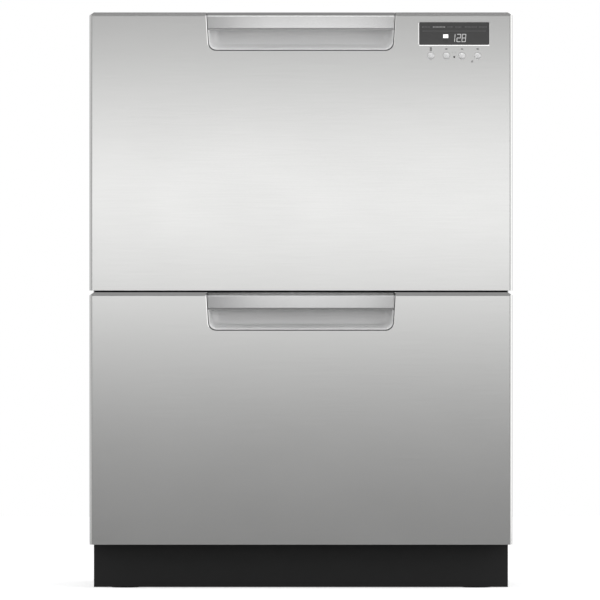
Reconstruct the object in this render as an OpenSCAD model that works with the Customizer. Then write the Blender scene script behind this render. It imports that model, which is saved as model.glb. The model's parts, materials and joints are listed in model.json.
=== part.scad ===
// Double drawer dishwasher, built in under a worktop. Two identical wash drawers run
// on telescopic ball slides in one steel cabinet, each under its own lid.
// X is to the right seen from the front, the fronts face -Y, Z is up from the floor.

/* [Appliance] */
// Width across the drawer fronts
front_w = 599; // [580:1:620]
// Height from the floor to the top edge of the upper front
total_h = 816; // [806:1:860]
// Depth from the proud middle of a handle to the back panel
total_d = 573; // [565:1:610]
// Cabinet side standing back from the edge of the fronts
front_overhang = 5.5; // [3:0.5:10]
// Cabinet top below the top edge of the upper front
cab_drop = 3; // [2:0.5:6]
// Steel sheet of the cabinet
sheet_t = 1.2; // [0.8:0.1:1.6]
// Clearance between pieces that are fitted together
fit_gap = 0.2; // [0.1:0.05:0.3]
// Width of the folded edges of the cabinet's sheets
fold_w = 14; // [10:0.5:16]
// Depth of the ribs pressed into the sheets
press_d = 1.6; // [1:0.1:2]
// Ends of the pressed ribs from the front and the back
rib_inset = 90; // [70:5:110]
// Highest pressed rib below the cabinet's top
rib_drop = 80; // [60:5:100]

/* [Fronts] */
// Height of the lower front
lower_front_h = 357.5; // [354:0.5:366]
// Slot between the two fronts
front_gap = 2.5; // [2:0.5:4]
// Height of the open toe space
toe_h = 62; // [60:1:70]
// Thickness of a drawer front
front_t = 26; // [25:0.5:32]
// Slot between the fronts and the cabinet
cabinet_gap = 2.5; // [2:0.5:4]
// Height of the cross rail behind the slot between the fronts
mid_rail_h = 25; // [20:0.5:28]
// Stainless skin of a front
skin_t = 1; // [0.8:0.1:1.2]
// Depth of the folded sides of the skin
skin_return = 18; // [14:1:22]
// Radius of the upright edges of the skin
skin_r = 3; // [2:0.5:5]
// Height of the bevel along the top edge
bevel_h = 4.2; // [3:0.2:6]
// Depth of the bevel along the top edge
bevel_d = 5; // [4:0.5:7]
// Length of the mitre that the bevel cuts from each top corner
mitre_w = 6.4; // [4:0.2:9]
// Wall of the moulded frame inside a front
frame_wall = 2.5; // [2:0.1:2.5]
// Spacing of the ribs of that frame
frame_rib_pitch = 58; // [45:1:80]

/* [Handles] */
// Half width of a handle at its top
handle_half = 133; // [110:1:150]
// Narrowing of that half width down to the lip
handle_taper = 1.6; // [0:0.2:4]
// Height of the handle recess below the top edge
handle_h = 53.4; // [46:0.2:60]
// Corner radius of the recess
handle_r = 9; // [6:0.5:14]
// Height of the grip bar
bar_h = 22.3; // [18:0.1:26]
// Thickness of the grip bar
bar_t = 8; // [6:0.5:9]
// Bow of the grip bar in front of the face
handle_bow = 4; // [2:0.5:6]
// Wall of the moulded scoop
scoop_wall = 1.5; // [1.2:0.1:2]
// Width of the slanted lip round the scoop
scoop_lip = 2.4; // [1.5:0.1:3]
// Gap between the skin and the scoop, and beside the bar
handle_gap = 0.8; // [0.3:0.1:1]
// Rise of the scoop's floor towards its back
scoop_rise = 12; // [4:1:14]

/* [Controls] */
// Distance of the display's middle from the right edge
display_edge = 82.4; // [75:0.2:90]
// Distance of the display's middle below the top edge
display_drop = 30.3; // [26:0.1:34]
// Width of the display window
display_w = 99.6; // [90:0.2:104]
// Height of the display window
display_h = 31.8; // [26:0.2:34]
// Corner radius of the display window
display_r = 2; // [1:0.5:4]
// Depth of the window below the steel face
display_sink = 0.6; // [0.2:0.1:0.8]
// Distance of the buttons below the top edge
button_drop = 61.5; // [58:0.5:66]
// Spacing of the buttons
button_pitch = 22.1; // [16:0.1:24]
// Radius of a button
button_r = 4.4; // [3.5:0.1:5.5]
// Height of a button's dome in front of the face
button_dome = 1; // [0.6:0.1:1.6]
// Travel of a button
button_travel = 0.8; // [0.5:0.1:1.2]
// Radius of the status light
light_r = 1.2; // [0.8:0.1:1.6]
// Drop of the status light below the row of buttons
light_drop = 1.7; // [0:0.1:3]

/* [Wash tub] */
// Room between the tub's rim and a cabinet side
side_room = 16.8; // [16.4:0.1:20]
// Room between the tub's rim and the back of the cabinet
rear_room = 64.5; // [50:0.5:90]
// Width of the rim flange
rim_w = 12; // [10:0.5:14]
// Thickness of the rim flange
rim_t = 4; // [3:0.5:5]
// Wall of the tub
tub_wall = 3; // [2.5:0.1:4]
// Outer corner radius of the tub
tub_r = 45; // [40:1:60]
// Step inwards where the slides pass the tub
tub_step = 6; // [4:0.5:8]
// Height of that step above the bottom edge of the front
step_z = 140; // [134:1:160]
// Underside of the tub floor above the bottom edge of the front
floor_z = 60; // [56:0.5:66]
// Radius between the tub's floor and walls
floor_r = 25; // [15:1:32]
// Room above the rim for the lid and the cross rail
lid_room = 45.5; // [44:0.5:50]
// Inner radius of the sump
sump_r = 75; // [66:1:82]
// Inner radius of the filter well beside the sump
well_r = 27; // [25:0.5:30]
// Distance of the filter well from the middle
well_off = 92; // [90:1:98]
// Radius of a rack post
post_r = 8; // [5:0.5:10]

/* [Wash system] */
// Underside of the motor above the bottom edge of the front
motor_z = 12; // [9:0.5:14]
// Height of the motor
motor_h = 22; // [16:0.5:24]
// Radius of the motor's nose
nose_r = 14; // [11:0.5:18]
// Radius of the impeller
impeller_r = 55; // [40:1:60]
// Radius of the impeller's shaft
shaft_r = 4; // [3:0.5:6]
// Radius of the filter plate
filter_r = 138; // [128:1:150]
// Thickness of the filter plate
filter_t = 2.5; // [2:0.1:3.5]
// Radius of the drain filter
drain_r = 20; // [16:0.5:22]
// Length of a spray arm from the middle
arm_len = 203; // [170:1:208]
// Height of a spray arm
arm_h = 11; // [9:0.5:13]
// Radius of the post that carries the spray arm
arm_post_r = 12; // [10:0.5:15]
// Width of a spray arm at its hub
arm_w = 40; // [34:1:44]
// Radius of a spray arm's hub
arm_hub_r = 26; // [22:1:30]
// Running clearance of shafts
run_gap = 0.06; // [0.03:0.01:0.09]

/* [Lids] */
// Travel of a lid down on to the rim
lid_travel = 6; // [4:0.5:8]
// Height of the bulb seal
seal_h = 4.6; // [4:0.1:6]
// Plate of the lid
lid_t = 3; // [2.5:0.1:4]
// Height of the lid's edge and ribs
lid_rim_h = 12; // [10:0.5:14]
// Radius of the lid pins
lid_pin_r = 3; // [2:0.5:4]
// Distance of the lid pins in front of and behind the middle
lid_pin_y = 150; // [120:5:160]

/* [Drawer slides] */
// Middle of the slides above the bottom edge of the front
slide_z = 105; // [100:1:110]
// Height of a slide
slide_h = 45; // [42:0.5:48]
// Length of a closed slide
slide_len = 500; // [480:5:510]
// Steel of the slides
slide_t = 1.2; // [1:0.1:1.4]
// Distance from the cabinet side to the inner face of a slide
slide_w = 12.5; // [12:0.1:13]
// Room for the balls between two members
ball_room = 4.3; // [4:0.1:4.5]
// Balls in one cage
ball_count = 6; // [4:1:10]
// Length of a bracket that ties a slide to the tub
bracket_len = 80; // [50:5:90]
// Height of that bracket
bracket_h = 24; // [18:1:26]

/* [Rack] */
// Wire of the rack
wire_d = 4; // [3.5:0.1:4.5]
// Wire of the rack's top loop
rim_wire_d = 6; // [5:0.5:7]
// Height of the rack's lowest wires above the bottom edge of the front
rack_z = 104; // [102:0.5:108]
// Height of the rack
rack_h = 112; // [95:1:120]
// Room between the rack and a side wall of the tub
rack_side_room = 20; // [15:1:35]
// Room between the tub's front rim and the rack
rack_front_room = 78; // [76:1:86]
// Room between the rack and the tub's rear rim
rack_rear_room = 30; // [26:1:40]
// Bend radius of the wires
bend_r = 14; // [10:1:20]
// Bent wires from side to side
cross_wires = 7; // [5:1:9]
// Bent wires from front to back
long_wires = 7; // [5:2:9]
// Spacing of the tines
tine_pitch = 30; // [24:1:40]
// Height of the tines
tine_h = 60; // [50:1:65]
// Wire of the folding pieces
fold_wire_d = 3.5; // [3:0.1:4]
// Reach of the cup shelf
shelf_reach = 92; // [70:1:95]

/* [Cutlery basket] */
// Width of the basket
basket_w = 82; // [70:1:84]
// Length of the basket
basket_len = 150; // [120:1:160]
// Height of the basket
basket_h = 105; // [90:1:115]
// Wall of the basket
basket_wall = 2; // [1.6:0.1:2.4]
// Height of the basket's carrying arch
arch_h = 42; // [30:1:50]

/* [Dispenser] */
// Width of the dispenser
disp_w = 150; // [130:1:180]
// Height of the dispenser
disp_h = 96; // [80:1:110]
// Depth of the dispenser
disp_d = 14; // [12:0.5:16]
// Width of the detergent cup
cup_w = 66; // [50:1:70]
// Height of the detergent cup
cup_h = 34; // [28:1:36]
// Thickness of the flap
flap_t = 3; // [2:0.5:4]

/* [Cabinet base] */
// Toe kick behind the face of the fronts
toe_recess = 50; // [40:1:80]
// Toe kick above the floor
toe_clear = 1; // [0.5:0.5:3]
// Radius of a foot's pad
foot_r = 19; // [14:1:24]
// Radius of a foot's screw
foot_screw_r = 5; // [4:0.5:6]
// Travel of a foot
foot_travel = 60; // [40:1:60]
// Foot in from the cabinet side
foot_in = 44; // [36:1:60]
// Depth of the connection bay at the bottom of the back
bay_d = 45; // [40:1:50]
// Height of the connections above the floor
port_z = 108; // [100:1:116]
// Radius of the water inlet's thread
inlet_r = 13.2; // [10:0.1:14]
// Length of the water inlet's thread
inlet_len = 12; // [10:0.5:14]
// Radius of the drain spigot
drain_port_r = 10; // [8:0.5:11]
// Length of the drain spigot
drain_port_len = 25; // [20:1:28]
// Radius of the mains lead that the gland takes
lead_r = 4.2; // [3.5:0.1:5]
// Spacing of the screw holes under the worktop
fixing_pitch = 480; // [400:5:520]
// Radius of those screw holes
fixing_r = 2.25; // [2:0.05:3]

/* [Hidden] */
$fn = 48;
SIDES = [-1, 1];
half_w = front_w / 2;
cab_half = half_w - front_overhang;
wall_in = cab_half - sheet_t;
y_front = -total_d / 2;
y_back = total_d / 2;
y_face = y_front + handle_bow;
y_frame = y_face + front_t;
y_cab = y_frame + cabinet_gap;
cab_top = total_h - cab_drop;
upper_z = toe_h + lower_front_h + front_gap;
upper_front_h = total_h - upper_z;
mid_rail_z = upper_z - mid_rail_h * 0.68;
// cabinet floor, just above the lower edge of the lower front
base_z = toe_h + 2;
base_top = base_z + sheet_t;
// the grip bar's face is part of a wide cylinder through both ends of the handle
bow_r = (pow(handle_half, 2) + pow(handle_bow, 2)) / (2 * handle_bow);
scoop_back = front_t - frame_wall - fit_gap;
lip_in = handle_gap + 0.5 + scoop_lip;
// controls
display_x = half_w - display_edge;
board_y = y_face + 9;
board_t = 1.6;
button_flange = 1.2;
switch_y = y_face + skin_t + fit_gap + button_flange + button_travel + 1.6;
// tub: rim, upper wall and lower wall share the same corner centres
rim_z = min(lower_front_h, upper_front_h) - lid_room;
rim_half = wall_in - side_room;
rim_r = tub_r + rim_w;
low_r = tub_r - tub_step;
tub_y0 = y_frame + fit_gap;
tub_y1 = y_back - rear_room;
tub_cy = (tub_y0 + tub_y1) / 2;
corner_x = rim_half - rim_r;
corner_y = (tub_y1 - tub_y0) / 2 - rim_r;
low_half = corner_x + low_r;
floor_top = floor_z + tub_wall;
inner_front = tub_y0 + rim_w + tub_wall;
boss_x = corner_x * 0.75;
boss_r = 9;
// wash system
sump_z = motor_z + motor_h + fit_gap;
sump_floor = sump_z + tub_wall;
nose_top = sump_floor + 2;
impeller_z = nose_top + 0.6;
impeller_h = floor_top - impeller_z - 4;
filter_z = floor_top + fit_gap;
drain_cap_h = 3;
drain_grip_h = 6;
arm_z = filter_z + filter_t + drain_cap_h + drain_grip_h + 3.5;
arm_post_top = arm_z + arm_h - 2;
// lid
seal_z = rim_z + lid_travel + 0.4;
lid_z = seal_z + seal_h;
lid_r = rim_r - 4.5;
lid_half = corner_x + lid_r;
seal_mid_r = lid_r - 4;
lid_pin_z = lid_z + lid_t + 5;
lid_pin_reach = wall_in - 3.8;
hanger_in = lid_half + 9;
// slides: v is the height from the middle of a slide
slide_y0 = y_cab + 1.5;
outer_v = slide_h / 2;
mid_v = outer_v - slide_t - ball_room;
inner_v = mid_v - slide_t - ball_room;
mid_u = slide_t + 1.8;
inner_u = slide_w - 6;
ball_u = (mid_u + slide_t + slide_w) / 2;
inner_ball_u = (inner_u + slide_w - slide_t) / 2;
ball_gap = 0.1;
cage_len = slide_len * 0.4;
// rack
rack_half = low_half - tub_wall - rack_side_room;
rack_y0 = tub_y0 + rack_front_room;
rack_y1 = tub_y1 - rack_rear_room;
wire_gap = 0.06;
bend_gap = 0.05;
cross_z = rack_z + wire_d / 2;
long_z = cross_z + wire_d + wire_gap;
rack_rim_z = rack_z + rack_h;
wire_top = rack_rim_z - rim_wire_d / 2 - wire_gap;
cross_inset = 10;
cross_pitch = (rack_y1 - rack_y0 - 2 * cross_inset) / (cross_wires - 1);
long_pitch = 2 * (rack_half - 55) / (long_wires - 1);
tine_x = long_pitch;
tine_y0 = rack_y0 + 45;
tine_y1 = rack_y1 - 45;
fold_z = long_z + 5.2;
clip_gap = 0.05;
rod_over = 5 * wire_d;
shelf_x = -rack_half + 7;
shelf_z = rack_rim_z - 16;
basket_x = rack_half - 12 - basket_w;
basket_y = rack_y0 + 14;
basket_z = long_z + wire_d / 2 + 0.15;
// dispenser, on the inner face of the tub's front wall
disp_y = inner_front + fit_gap;
disp_z = step_z + 36;
cup_z = disp_z + 20;
hinge_pin_r = 1.5;
hinge_y = disp_y + disp_d + hinge_pin_r + 0.6;
// base
toe_y = y_face + toe_recess;
foot_y0 = toe_y + foot_r + 14;
foot_y1 = y_back - foot_in - 16;
socket_z = 24;
toe_pad_x = cab_half * 2 / 3;
tray_edge_h = 22;
bay_y = y_back - bay_d;
// the bay ends just below the lower pair of slides
bay_top = toe_h + slide_z - outer_v - sheet_t - 1.5;
// ribs pressed into the cabinet's sides, middle height and half length
rib_half = 13;
rib_len = total_d - 2 * rib_inset;
rib_z = [(toe_h + upper_z) / 2 + slide_z + 1.5 * rib_half, cab_top - rib_drop];

// ---- placing and profiles ----

module upper() translate([0, 0, upper_z]) children();
module lower() translate([0, 0, toe_h]) children();

// an X-Z outline made solid between two depths
module xz_prism(y0, y1) translate([0, y1, 0]) rotate([90, 0, 0]) linear_extrude(y1 - y0) children();

// a Y-Z outline made solid between two places across the width
module yz_prism(x0, x1) translate([x0, 0, 0]) rotate([90, 0, 90]) linear_extrude(x1 - x0) children();

// a box given by its lowest and highest corners
module block(lo, hi) translate(lo) cube(hi - lo);

// a round bar or bore along Y
module rod_y(x, z, r, y0, y1) translate([x, y1, z]) rotate([90, 0, 0]) cylinder(r = r, h = y1 - y0);

// a round bar or bore along X
module rod_x(y, z, r, x0, x1) translate([x0, y, z]) rotate([0, 90, 0]) cylinder(r = r, h = x1 - x0);

// a rectangle with round corners, centred
module round_rect(w, h, r) {
    square([w - 2 * r, h], center = true);
    square([w, h - 2 * r], center = true);
    for (sx = SIDES, sy = SIDES)
        translate([sx * (w / 2 - r), sy * (h / 2 - r)]) circle(r);
}

// carries a profile (distance outside the corner centres, height) round the tub
module round_tub() translate([0, tub_cy, 0]) {
    for (q = [[1, 1, 0], [-1, 1, 90], [-1, -1, 180], [1, -1, 270]])
        translate([q[0] * corner_x, q[1] * corner_y, 0]) rotate(q[2]) rotate_extrude(angle = 90) children();
    for (m = [0, 1]) {
        mirror([m, 0, 0])
            translate([corner_x, corner_y, 0]) rotate([90, 0, 0]) linear_extrude(2 * corner_y) children();
        mirror([0, m, 0])
            translate([-corner_x, corner_y, 0]) rotate([90, 0, 90]) linear_extrude(2 * corner_x) children();
    }
}

// the flat middle that closes such a tray
module tub_middle(z0, z1) translate([0, tub_cy, 0])
    block([-corner_x, -corner_y, z0], [corner_x, corner_y, z1]);

// ---- cabinet ----

module base_tray() color("silver") difference() {
    union() {
        block([-wall_in, y_cab, base_z], [wall_in, y_back - sheet_t, base_top]);
        // folded edges hold leaked water and stiffen the floor
        for (s = SIDES)
            block([s * wall_in - (s > 0 ? sheet_t : 0), y_cab, base_z],
                [s * wall_in + (s > 0 ? 0 : sheet_t), y_back - sheet_t, base_z + tray_edge_h]);
        block([-wall_in, y_cab, base_z], [wall_in, y_cab + sheet_t, base_z + 6]);
        // pads that the toe kick is screwed to
        for (s = SIDES)
            block([s * toe_pad_x - 20, toe_y + 2, toe_h],
                [s * toe_pad_x + 20, toe_y + fold_w - 1, base_z + 0.1]);
        for (s = SIDES, y = [foot_y0, foot_y1])
            translate([s * (cab_half - foot_in), y, socket_z])
                cylinder(r = foot_screw_r + 6, h = base_z - socket_z);
    }
    for (s = SIDES, y = [foot_y0, foot_y1])
        translate([s * (cab_half - foot_in), y, socket_z - 1])
            cylinder(r = foot_screw_r + run_gap, h = base_z - socket_z + 4);
}

module foot(sx, y) color("dimgray") translate([sx * (cab_half - foot_in), y, 0]) {
    cylinder(r1 = foot_r, r2 = foot_r - 2, h = 6);
    translate([0, 0, 6]) cylinder(r = foot_screw_r + 5, h = 8, $fn = 6);
    translate([0, 0, 14]) cylinder(r = foot_screw_r, h = base_top - socket_z + foot_travel - 17);
}

// pressed ribs stand out from the sheet and are hollow inside
module side_rib(z, grow, x0, x1) yz_prism(x0, x1) translate([(y_cab + y_back) / 2, z])
    round_rect(rib_len + 2 * grow, 2 * (rib_half + grow), rib_half - 1 + grow);

module side_panel(s) color("gainsboro") mirror([s > 0 ? 0 : 1, 0, 0]) difference() {
    union() {
        block([wall_in, y_cab, base_z], [cab_half, y_back - sheet_t, cab_top - sheet_t]);
        for (z = concat(rib_z, [toe_h + slide_z, upper_z + slide_z]))
            side_rib(z, 0, cab_half, cab_half + press_d);
        // front edge folded inwards, open where the slides run out
        difference() {
            block([wall_in - 9, y_cab, base_z + 24], [wall_in, y_cab + sheet_t, cab_top - sheet_t]);
            for (z = [toe_h + slide_z, upper_z + slide_z])
                block([0, y_cab - 1, z - outer_v - 2], [cab_half, y_cab + 2, z + outer_v + 2]);
            block([0, y_cab - 1, mid_rail_z - 1], [cab_half, y_cab + 2, mid_rail_z + mid_rail_h + 1]);
        }
    }
    // hollow of each rib; the slides cover the other two
    for (z = rib_z)
        side_rib(z, -sheet_t, wall_in - 1, cab_half + press_d - sheet_t);
}

// ribs pressed down into the top, hollow above
module top_rib(y, grow, z0, z1) translate([0, y, z0]) linear_extrude(z1 - z0)
    round_rect(fixing_pitch - 40 + 2 * grow, 2 * (rib_half + grow), rib_half - 1 + grow);

module top_panel() color("gainsboro") difference() {
    ribs = [-total_d / 8, total_d / 5];
    union() {
        block([-cab_half, y_cab, cab_top - sheet_t], [cab_half, y_back, cab_top]);
        block([-wall_in + 10, y_cab, cab_top - fold_w], [wall_in - 10, y_cab + sheet_t, cab_top - sheet_t]);
        for (y = ribs)
            top_rib(y, 0, cab_top - sheet_t - press_d, cab_top - sheet_t);
    }
    for (y = ribs)
        top_rib(y, -sheet_t, cab_top - press_d, cab_top + 1);
    for (s = SIDES)
        translate([s * fixing_pitch / 2, y_cab + fold_w, cab_top - 5]) cylinder(r = fixing_r, h = 10);
}

// upright ribs pressed into the rear, hollow outside
module rear_rib(x, grow, y0, y1) xz_prism(y0, y1)
    translate([x, (bay_top + cab_top) / 2])
        round_rect(2 * (3 * rib_half + grow), cab_top - bay_top - 120 + 2 * grow, rib_half + grow);

// bent sheet: upper wall, shelf over the connections, lower wall set back from the rear
module rear_panel() color("silver") difference() {
    ribs = [-cab_half / 2, 0, cab_half / 2];
    union() {
        yz_prism(-cab_half, cab_half) {
            translate([y_back - sheet_t, bay_top]) square([sheet_t, cab_top - sheet_t - bay_top]);
            translate([bay_y - sheet_t, bay_top]) square([bay_d + sheet_t, sheet_t]);
            translate([bay_y - sheet_t, base_top]) square([sheet_t, bay_top - base_top]);
        }
        for (x = ribs)
            rear_rib(x, 0, y_back - sheet_t - press_d, y_back - sheet_t);
    }
    for (x = ribs)
        rear_rib(x, -sheet_t, y_back - press_d, y_back + 1);
    // the lower wall stands between the side panels, and between the tray's edges below
    for (m = [0, 1])
        mirror([m, 0, 0]) {
            block([wall_in, bay_y - 10, 0], [cab_half + 1, y_back - sheet_t, bay_top + sheet_t]);
            block([wall_in - sheet_t - fit_gap, bay_y - 10, 0],
                [cab_half + 1, bay_y + 1, base_z + tray_edge_h + fit_gap]);
        }
    rod_y(inlet_x(), port_z, inlet_r + fit_gap, bay_y - 10, bay_y + 1);
    rod_y(drain_x(), port_z, drain_port_r + fit_gap, bay_y - 10, bay_y + 1);
    rod_y(gland_x(), port_z, lead_r + 5 + fit_gap, bay_y - 10, bay_y + 1);
}

function inlet_x() = -cab_half + 74;
function drain_x() = inlet_x() + 60;
function gland_x() = cab_half - 74;

module inlet_valve() color("white") {
    // flange against the back, threaded hose tail, solenoid inside the cabinet
    rod_y(inlet_x(), port_z, inlet_r + 8, bay_y, bay_y + 3);
    rod_y(inlet_x(), port_z, inlet_r - 1.5, bay_y + 2, bay_y + 9);
    difference() {
        rod_y(inlet_x(), port_z, inlet_r, bay_y + 8, bay_y + 8 + inlet_len);
        rod_y(inlet_x(), port_z, inlet_r - 4, bay_y + 12, bay_y + 9 + inlet_len);
    }
    rod_y(inlet_x(), port_z, inlet_r - 1, bay_y - 8, bay_y + 1);
    block([inlet_x() - 16, bay_y - 24, port_z - 15], [inlet_x() + 16, bay_y - 7, port_z + 15]);
}

module drain_spigot() color("dimgray") difference() {
    union() {
        rod_y(drain_x(), port_z, drain_port_r + 7, bay_y, bay_y + 3);
        rod_y(drain_x(), port_z, drain_port_r, bay_y + 2, bay_y + 3 + drain_port_len);
        rod_y(drain_x(), port_z, drain_port_r - 1, bay_y - 20, bay_y + 1);
    }
    rod_y(drain_x(), port_z, drain_port_r - 3, bay_y - 21, bay_y + 4 + drain_port_len);
}

module mains_gland() color("dimgray") difference() {
    union() {
        translate([gland_x(), bay_y + 5, port_z]) rotate([90, 0, 0]) cylinder(r = lead_r + 9, h = 5, $fn = 6);
        rod_y(gland_x(), port_z, lead_r + 6, bay_y + 4, bay_y + 16);
        rod_y(gland_x(), port_z, lead_r + 5, bay_y - 6, bay_y + 1);
        rod_y(gland_x(), port_z, lead_r + 7.5, bay_y - 8, bay_y - sheet_t - fit_gap);
    }
    rod_y(gland_x(), port_z, lead_r, bay_y - 9, bay_y + 17);
}

// channel behind the slot between the two fronts
module mid_rail() color("black") yz_prism(-wall_in + fit_gap, wall_in - fit_gap) {
    translate([y_cab, mid_rail_z]) square([sheet_t, mid_rail_h]);
    for (z = [mid_rail_z, mid_rail_z + mid_rail_h - sheet_t])
        translate([y_cab, z]) square([fold_w, sheet_t]);
}

module toe_kick() color("#1d1d1f") yz_prism(-cab_half, cab_half) {
    translate([toe_y, toe_clear]) square([sheet_t, toe_h - toe_clear]);
    translate([toe_y, toe_h - sheet_t]) square([fold_w, sheet_t]);
    translate([toe_y, toe_clear]) square([fold_w * 0.65, sheet_t]);
}

// ---- drawer slides ----

// puts a section (distance in from the cabinet side, height) on both sides, along the depth
module slide_pair(y0, len) for (m = [0, 1])
    mirror([m, 0, 0]) translate([wall_in, y0 + len, slide_z]) rotate([90, 0, 0])
        mirror([1, 0, 0]) linear_extrude(len) children();

// a channel: web against the cabinet side, flanges above and below
module channel(u0, u1, v, web_u) {
    translate([web_u, -v]) square([slide_t, 2 * v]);
    for (m = [0, 1])
        mirror([0, m]) translate([u0, v - slide_t]) square([u1 - u0, slide_t]);
}

module outer_rail_pair() color("silver") {
    slide_pair(slide_y0, slide_len) channel(0, slide_w - 0.5, outer_v, 0);
    // stop tab at the back end
    slide_pair(slide_y0 + slide_len - 3, 3) translate([0, -outer_v]) square([slide_w - 3, slide_h]);
}

// one cage: a strip with a row of balls, between two flanges
module ball_cage(u, v, width, y0) {
    ball_r = (ball_room - 2 * ball_gap) / 2;
    slide_pair(y0, cage_len) translate([u - width / 2, v - 0.5]) square([width, 1]);
    pitch = cage_len / ball_count;
    for (s = SIDES, i = [0:ball_count - 1])
        translate([s * (wall_in - u), y0 + (i + 0.5) * pitch, slide_z + v]) sphere(ball_r, $fn = 24);
}

module middle_rails() color("lightsteelblue") {
    slide_pair(slide_y0, slide_len - 4) channel(mid_u, slide_w, mid_v, mid_u);
    for (m = SIDES) {
        ball_cage(ball_u, m * (mid_v + ball_room / 2), 5, slide_y0 + slide_len - cage_len - 10);
        ball_cage(inner_ball_u, m * (inner_v + ball_room / 2), 3, slide_y0 + 6);
    }
}

module inner_rails() color("silver") {
    slide_pair(slide_y0, slide_len - 4) channel(inner_u, slide_w, inner_v, slide_w - slide_t);
    // pressed brackets that carry the tub
    for (y = [tub_cy - corner_y + 12, tub_cy + corner_y - 12 - bracket_len])
        slide_pair(y, bracket_len) {
            bridge = wall_in - low_half - slide_w + slide_t;
            translate([slide_w - slide_t, -bracket_h / 2]) square([2, bracket_h]);
            translate([wall_in - low_half - 2, -bracket_h / 2]) square([2, bracket_h]);
            translate([slide_w - slide_t, -bracket_h / 2]) square([bridge, 2]);
        }
}

// ---- drawer fronts ----

// the block of a front, t inside its steel surface, from the face back to y_end
module front_block(h, t, y_end) {
    w = front_w - 2 * t;
    y0 = y_face + t;
    r = max(skin_r - t, 1);
    intersection() {
        linear_extrude(h) {
            translate([-w / 2 + r, y0]) square([w - 2 * r, y_end - y0]);
            translate([-w / 2, y0 + r]) square([w, y_end - y0 - r]);
            for (s = SIDES)
                translate([s * (w / 2 - r), y0 + r]) circle(r);
        }
        xz_prism(y0 - 1, y_end + 1) polygon([[-w / 2, t], [w / 2, t], [w / 2, h - bevel_h],
            [w / 2 - mitre_w, h - t], [-w / 2 + mitre_w, h - t], [-w / 2, h - bevel_h]]);
        yz_prism(-half_w, half_w) polygon([[y0 + 1.2, t], [y_end, t], [y_end, h - t],
            [y0 + bevel_d, h - t], [y0, h - bevel_h], [y0, t + 1.2]]);
    }
}

// outline of the handle recess below the top edge, moved inwards by inset
function handle_outline(inset, rise = 0) =
    let (top_x = handle_half - inset, low_x = handle_half - handle_taper - inset)
    let (r = max(handle_r - inset, 2), low_z = -handle_h + inset + rise)
    concat([[top_x, 0]],
        [for (a = [0:-15:-90]) [low_x - r + r * cos(a), low_z + r + r * sin(a)]],
        [for (a = [-90:-15:-180]) [-low_x + r + r * cos(a), low_z + r + r * sin(a)]],
        [[-top_x, 0]]);

module front_skin(h, controls) color("lightgray") difference() {
    front_block(h, 0, y_face + skin_return);
    front_block(h, skin_t, y_frame + 1);
    translate([0, 0, h]) xz_prism(y_front - 1, y_face + bar_t + fit_gap) {
        polygon(handle_outline(0));
        translate([-handle_half, -1]) square([2 * handle_half, 2]);
    }
    if (controls) {
        xz_prism(y_face - 1, y_face + 3) {
            translate([display_x, h - display_drop]) round_rect(display_w, display_h, display_r);
            for (i = [0:3])
                translate([button_x(i), h - button_drop]) circle(button_r + 0.1);
            translate([display_x, h - button_drop - light_drop]) circle(light_r + 0.1);
        }
    }
}

function button_x(i) = display_x + (i - 1.5) * button_pitch;

module front_frame(h, controls) color("gray") difference() {
    t = skin_t + fit_gap;
    union() {
        difference() {
            front_block(h, t, y_frame);
            block([-half_w + t + frame_wall, y_front, t + frame_wall],
                [half_w - t - frame_wall, y_frame - frame_wall, h - t - frame_wall]);
        }
        // ribs behind the skin, and a thicker wall round the handle scoop
        intersection() {
            front_block(h, t, y_frame - 1);
            union() {
                for (x = [0:frame_rib_pitch:half_w - 8], s = SIDES)
                    block([s * x - 1, y_face + 3, 0], [s * x + 1, y_frame, h]);
                for (z = [frame_rib_pitch:frame_rib_pitch:h - 8])
                    block([-half_w, y_face + 3, z - 1], [half_w, y_frame, z + 1]);
                translate([0, 0, h]) xz_prism(y_face + 3, y_frame)
                    polygon(handle_outline(-3.5));
            }
        }
    }
    // room for the scoop
    translate([0, 0, h]) xz_prism(y_front - 1, y_face + scoop_back + fit_gap) {
        polygon(handle_outline(-fit_gap));
        translate([-handle_half, -1]) square([2 * handle_half, 2]);
    }
    if (controls)
        block([display_x - display_w / 2 - 10, y_front, h - button_drop - 12],
            [display_x + display_w / 2 + 10, y_frame - frame_wall, h - t - frame_wall]);
}

// the bar's section is turned about the middle of its bow, then cut at both ends
module handle_bar(h) color("silver") translate([0, 0, h]) intersection() {
    translate([0, y_front + bow_r, 0]) rotate([0, 0, -90 - 6]) rotate_extrude(angle = 12, $fn = 1440)
        polygon([[bow_r - bar_t, -bar_h + 1.5], [bow_r - bar_t + 1.5, -bar_h], [bow_r - 0.8, -bar_h],
            [bow_r, -bar_h + 0.8], [bow_r, -bevel_h], [bow_r - bevel_d, 0], [bow_r - bar_t, 0]]);
    xz_prism(y_front - 1, y_face + bar_t + fit_gap) polygon(handle_outline(handle_gap + 0.1));
}

module handle_scoop(h) color("darkgray") translate([0, 0, h]) difference() {
    intersection() {
        xz_prism(y_face + 0.1, y_face + scoop_back) polygon(handle_outline(handle_gap));
        block([-half_w, y_face, -handle_h], [half_w, y_frame, -skin_t - 2 * fit_gap]);
    }
    // place of the grip bar
    block([-half_w, y_front - 1, -bar_h - fit_gap], [half_w, y_face + bar_t + fit_gap, 1]);
    // slanted lip, then the hollow for the fingers with its rising floor
    hull() {
        xz_prism(y_face, y_face + 0.11) polygon(handle_outline(handle_gap + 0.5));
        xz_prism(y_face + scoop_lip, y_face + scoop_lip + 0.1) polygon(handle_outline(lip_in));
    }
    intersection() {
        hull() {
            xz_prism(y_face + scoop_lip, y_face + scoop_lip + 0.1) polygon(handle_outline(lip_in));
            xz_prism(y_face + scoop_back - scoop_wall - 0.1, y_face + scoop_back - scoop_wall)
                polygon(handle_outline(lip_in + 2, scoop_rise));
        }
        block([-half_w, y_face, -handle_h], [half_w, y_frame, -skin_t - scoop_wall - 1.5]);
    }
}

// ---- controls in the upper front ----

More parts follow.
